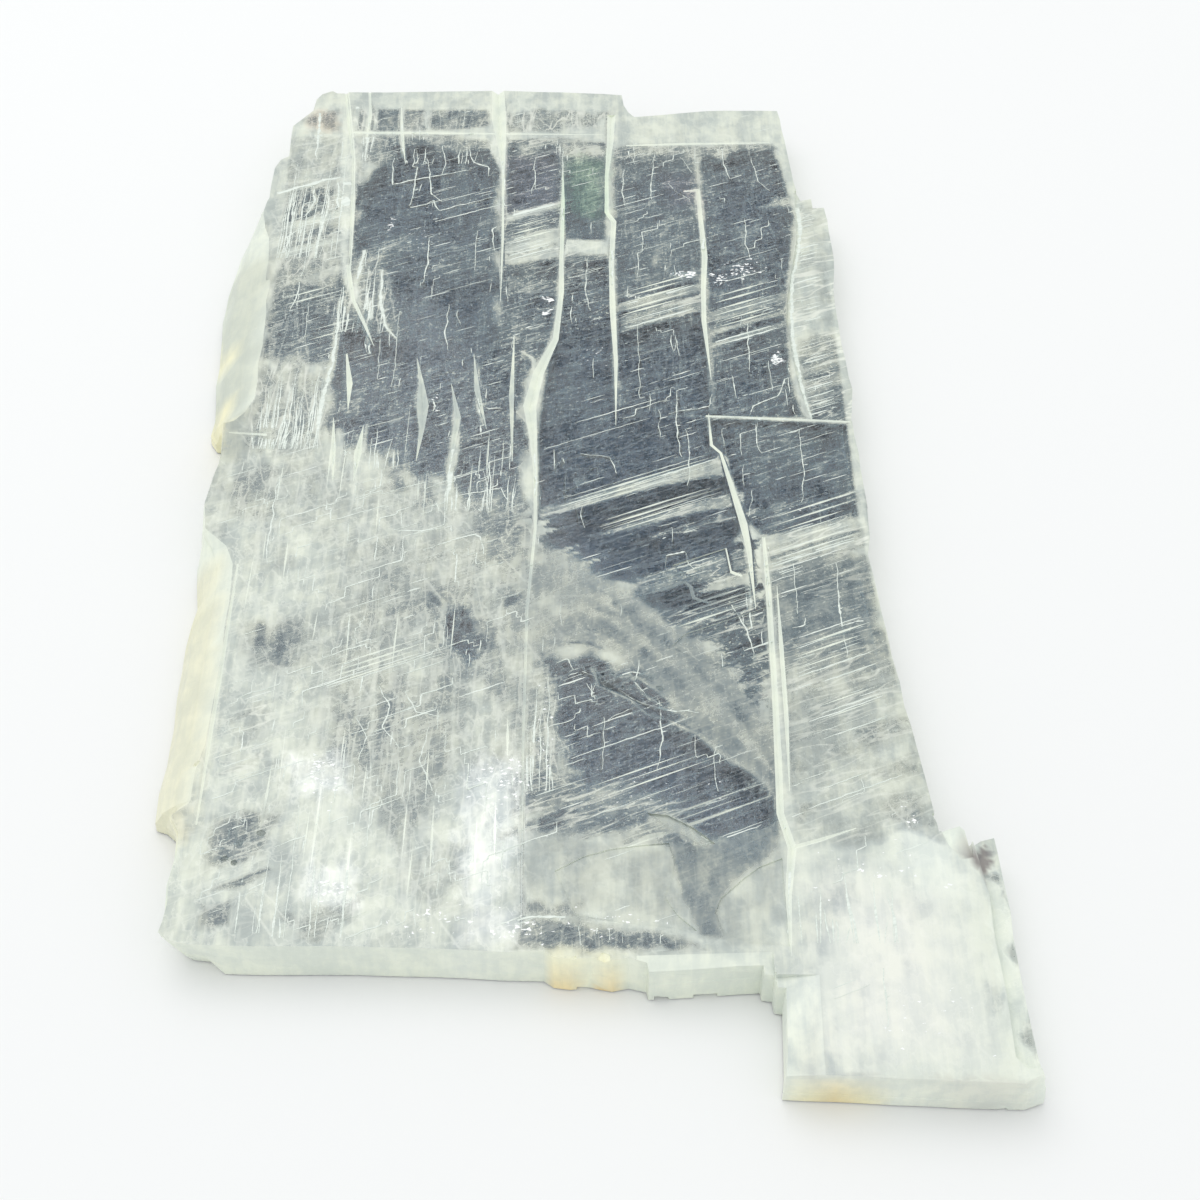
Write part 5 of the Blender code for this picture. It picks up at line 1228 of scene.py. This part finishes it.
for line in cracks["lines"]:
    half = cracks["half"] * chance.uniform(0.6, 1.0, len(line))
    half[[0, -1]] = 0.04
    places = np.column_stack([line, half])
    depth = chance.uniform(*cracks["depth"])
    shapes.append(bladeAlong(places, cracks["step"], proud, depth, cracks["ragged"], chance))
    for px, py, wide in drawnOut(places, cracks["spurPitch"]):
        if chance.random() < cracks["spurShare"]:
            length = 0.5 + chance.exponential(1.0)
            width = chance.uniform(*cracks["spurWidth"])
            shapes.append(fibreLath(px, py, length, width, proud, cracks["spurDepth"], chance))
joined("fineCracks", shapes, veinLook)

# stepped seams: short runs that take turns along y and along the slant, all over and some more in the
# milky field
seams = {
    "count": 110, "inField": 90, "half": 0.10, "step": 0.45, "depth": (0.2, 0.7), "ragged": 0.25,
    "gaps": [proud, proud, 1.5], "leastStreaks": 0.25,
    "slab": ([-56, -88], [46, 104]), "field": ([-56, -90], [-9, 4]),
}
shapes = []
run = np.array([[0.0, -1.0], [math.cos(slant), math.sin(slant)]])
for n in range(seams["count"] + seams["inField"]):
    start = chance.uniform(*seams["slab"])
    if n >= seams["count"]:
        start = chance.uniform(*seams["field"])
    legs = chance.integers(3, 7)
    sign = chance.choice([-1, 1])
    lengths = chance.exponential(1.6, legs) + 0.6
    ways = run[np.arange(legs) % 2] * np.where(np.arange(legs) % 2, sign, 1)[:, None]
    path = start + np.concatenate([[[0, 0]], np.cumsum(ways * lengths[:, None], axis=0)])
    half = np.concatenate([[0.03], chance.uniform(0.4, 1.1, legs - 1) * seams["half"], [0.03]])
    if milkAt(path[:1, 0], path[:1, 1])[1] < seams["leastStreaks"]:
        continue
    gap = chance.choice(seams["gaps"])
    depth = chance.uniform(*seams["depth"])
    places = np.column_stack([path, half])
    shapes.append(bladeAlong(places, seams["step"], gap, depth, seams["ragged"], chance))
joined("steppedSeams", shapes, veinLook)

# small upright cracks that run along y, single ones and tufts
hair = {
    "count": 170, "tries": 3000, "longest": 8.0, "step": 0.9, "half": (0.05, 0.12), "depth": (0.6, 2.5),
    "ragged": 0.3, "gaps": [proud, proud, 2.0],
    "tuftStep": 0.8, "tuftHalf": (0.05, 0.15), "tuftDepth": (0.4, 1.6),
    # least and greatest x of a tuft, its foot and highest top, count
    "tufts": [
        (-55.4, -44.4, 7, 29, 44), (-44, -35.6, 38, 58, 26), (-48, -41.6, 91, 104, 16),
        (-38, -31, 98, 107, 12), (-42, -30, 2, 13, 26), (-24, -11, -8, 6, 18), (-7.4, -3, -66, -44, 11),
        (-57.6, -46, 60, 96, 24), (-50, -30, -92, -66, 12), (30, 44, -92, -78, 16),
        (-36, -20, 90, 97, 14),
    ],
}
x = chance.uniform(-58, 46, hair["tries"])
y = chance.uniform(-90, 110, hair["tries"])
length = hair["longest"] * chance.beta(1.3, 3.0, hair["tries"]) + 1.0
streaks = milkAt(x, y)[2]
held = (depthInside(x, y, outlineRough) > 1.0) & (chance.random(hair["tries"]) < 1.8 * streaks)
shapes = []
for n in np.nonzero(held)[0][:hair["count"]]:
    bend = chance.normal(0, 0.03) * length[n]
    half = chance.uniform(*hair["half"])
    line = [(x[n], y[n], 0.03), (x[n] + bend, y[n] - 0.4 * length[n], half),
            (x[n] - bend, y[n] - length[n], 0.03)]
    gap = chance.choice(hair["gaps"])
    depth = chance.uniform(*hair["depth"])
    shapes.append(bladeAlong(line, hair["step"], gap, depth, hair["ragged"], chance))
for least, greatest, foot, highest, count in hair["tufts"]:
    for n in range(count):
        place = chance.uniform(least, greatest)
        top = foot + (highest - foot) * chance.beta(1.8, 1.6)
        lean = chance.normal(0, 0.4)
        half = chance.uniform(*hair["tuftHalf"])
        line = [(place + lean, top, 0.02), (place + 0.3 * lean, 0.5 * (top + foot), half),
                (place, foot, 0.04)]
        depth = chance.uniform(*hair["tuftDepth"])
        shapes.append(bladeAlong(line, hair["tuftStep"], proud, depth, hair["ragged"], chance))
joined("hairCracks", shapes, veinLook)

# bright flakes where a crack catches the light
glints = {
    "thick": 0.07, "raised": 0.035, "sinks": 0.05, "slope": 0.05, "squash": 0.6,
    # middle, spread, count and largest half size
    "groups": [
        (-5.6, 47.4, 1.4, 1.2, 26, .8), (-6, 43.6, 1.0, .8, 18, .8), (17.4, 54.4, 2.2, .9, 30, .8),
        (20.6, 55, 2.6, .8, 40, .9), (25.6, 53.6, 1.4, 2.0, 30, .6), (29, 55.4, 2.2, 3.4, 36, .5),
        (30, 57, 3.0, 3.0, 30, .45), (34.6, 30.6, 1.3, 1.8, 40, .8), (-25.4, 18.4, .8, 3.0, 16, .5),
        (-11, -64, 4.5, 6, 60, .5), (-37, -63, 3, 5, 40, .5), (-34, -83, 3, 2.5, 36, .5),
        (2, -89, 9, 2.5, 50, .4), (-20, -88, 5, 3, 30, .5), (-8, -90, 4, 2, 30, .6),
        (46, -104, 8, 5, 26, .35), (43, -80, 8, 4, 30, .45), (47.5, -71, 1.5, 3, 12, .5),
        (-36.3, 70, .6, 2.4, 14, .5), (-5, -56, 2.0, 14, 40, .35), (12, -66, 9, 6, 50, .25),
        (-30, 66, 6, 8, 40, .25), (4, 32, 3, 4, 14, .35), (36, -8, 2, 2, 6, .5),
    ],
}
shapes = []
for midX, midY, wideX, wideY, count, largest in glints["groups"]:
    for n in range(count):
        turn = chance.uniform(0, 2 * math.pi) + np.sort(chance.uniform(0, 2 * math.pi, 4))
        size = largest * chance.uniform(0.2, 1.0)
        place = np.array([midX + wideX * chance.normal(0, 0.5), midY + wideY * chance.normal(0, 0.5)])
        ceiling = roofAt(place[0], place[1])
        if ceiling < leastCeiling:
            continue
        slope = chance.uniform(-glints["slope"], glints["slope"], 2)
        level = ceiling + glints["raised"] - glints["sinks"] * size
        flat = np.stack([np.cos(turn), glints["squash"] * np.sin(turn)], axis=1) * size
        tops = np.concatenate([place + flat, (level + flat @ slope)[:, None]], axis=1)
        feet = tops - np.array([0, 0, glints["thick"]])
        sides = [[0, 1, 2, 3], [7, 6, 5, 4], [0, 4, 5, 1], [1, 5, 6, 2], [2, 6, 7, 3], [3, 7, 4, 0]]
        shapes.append((np.concatenate([tops, feet]), sides))
joined("glintFlakes", shapes, glintLook)


# floor, light and camera
studio = {
    "floorSide": 2200.0, "floorLevel": -0.2,        # mm
    "floorColour": (0.86, 0.86, 0.86, 1), "floorRoughness": 0.9,
    "lampPlace": (-0.25, 0.35, 0.9), "lampSize": 0.9, "lampPower": 2.4,     # metres and watts
    "skyColour": (0.98, 1.0, 1.0, 1), "skyStrength": 0.95,
    "cameraPlace": (5.747, -250.492, 240.3), "cameraTilt": 43.5, "lens": 61.5,     # mm and degrees
}


def plainFloor():
    material, tree, shader, out = newMaterial("paleFloor")
    shader.inputs["Base Color"].default_value = studio["floorColour"]
    shader.inputs["Roughness"].default_value = studio["floorRoughness"]
    corners = np.array([(-1, -1, 0), (1, -1, 0), (1, 1, 0), (-1, 1, 0)])
    verts = corners * studio["floorSide"] + np.array([0, 0, studio["floorLevel"]])
    floor = meshFrom("floor", verts, [[0, 1, 2, 3]], material)


def softLight(name, place, size, power):
    lamp = bpy.data.lights.new(name, "AREA")
    lamp.shape = "SQUARE"
    lamp.size = size
    lamp.energy = power
    light = bpy.data.objects.new(name, lamp)
    light.location = place
    light.rotation_euler = light.location.to_track_quat("Z", "Y").to_euler()
    bpy.context.scene.collection.objects.link(light)


plainFloor()
softLight("overhead", studio["lampPlace"], studio["lampSize"], studio["lampPower"])
world = bpy.data.worlds.new("studio")
bpy.context.scene.world = world
world.use_nodes = True
sky = world.node_tree.nodes["Background"]
sky.inputs["Color"].default_value = studio["skyColour"]
sky.inputs["Strength"].default_value = studio["skyStrength"]

lens = bpy.data.cameras.new("photoCamera")
lens.lens = studio["lens"]
lens.sensor_width = 36.0
lens.clip_start = 0.01
camera = bpy.data.objects.new("photoCamera", lens)
camera.location = tuple(value * mm for value in studio["cameraPlace"])
camera.rotation_euler = (math.radians(studio["cameraTilt"]), 0, 0)
bpy.context.scene.collection.objects.link(camera)
bpy.context.scene.camera = camera
bpy.context.scene.view_settings.view_transform = "Standard"
print("floor, light and camera made")
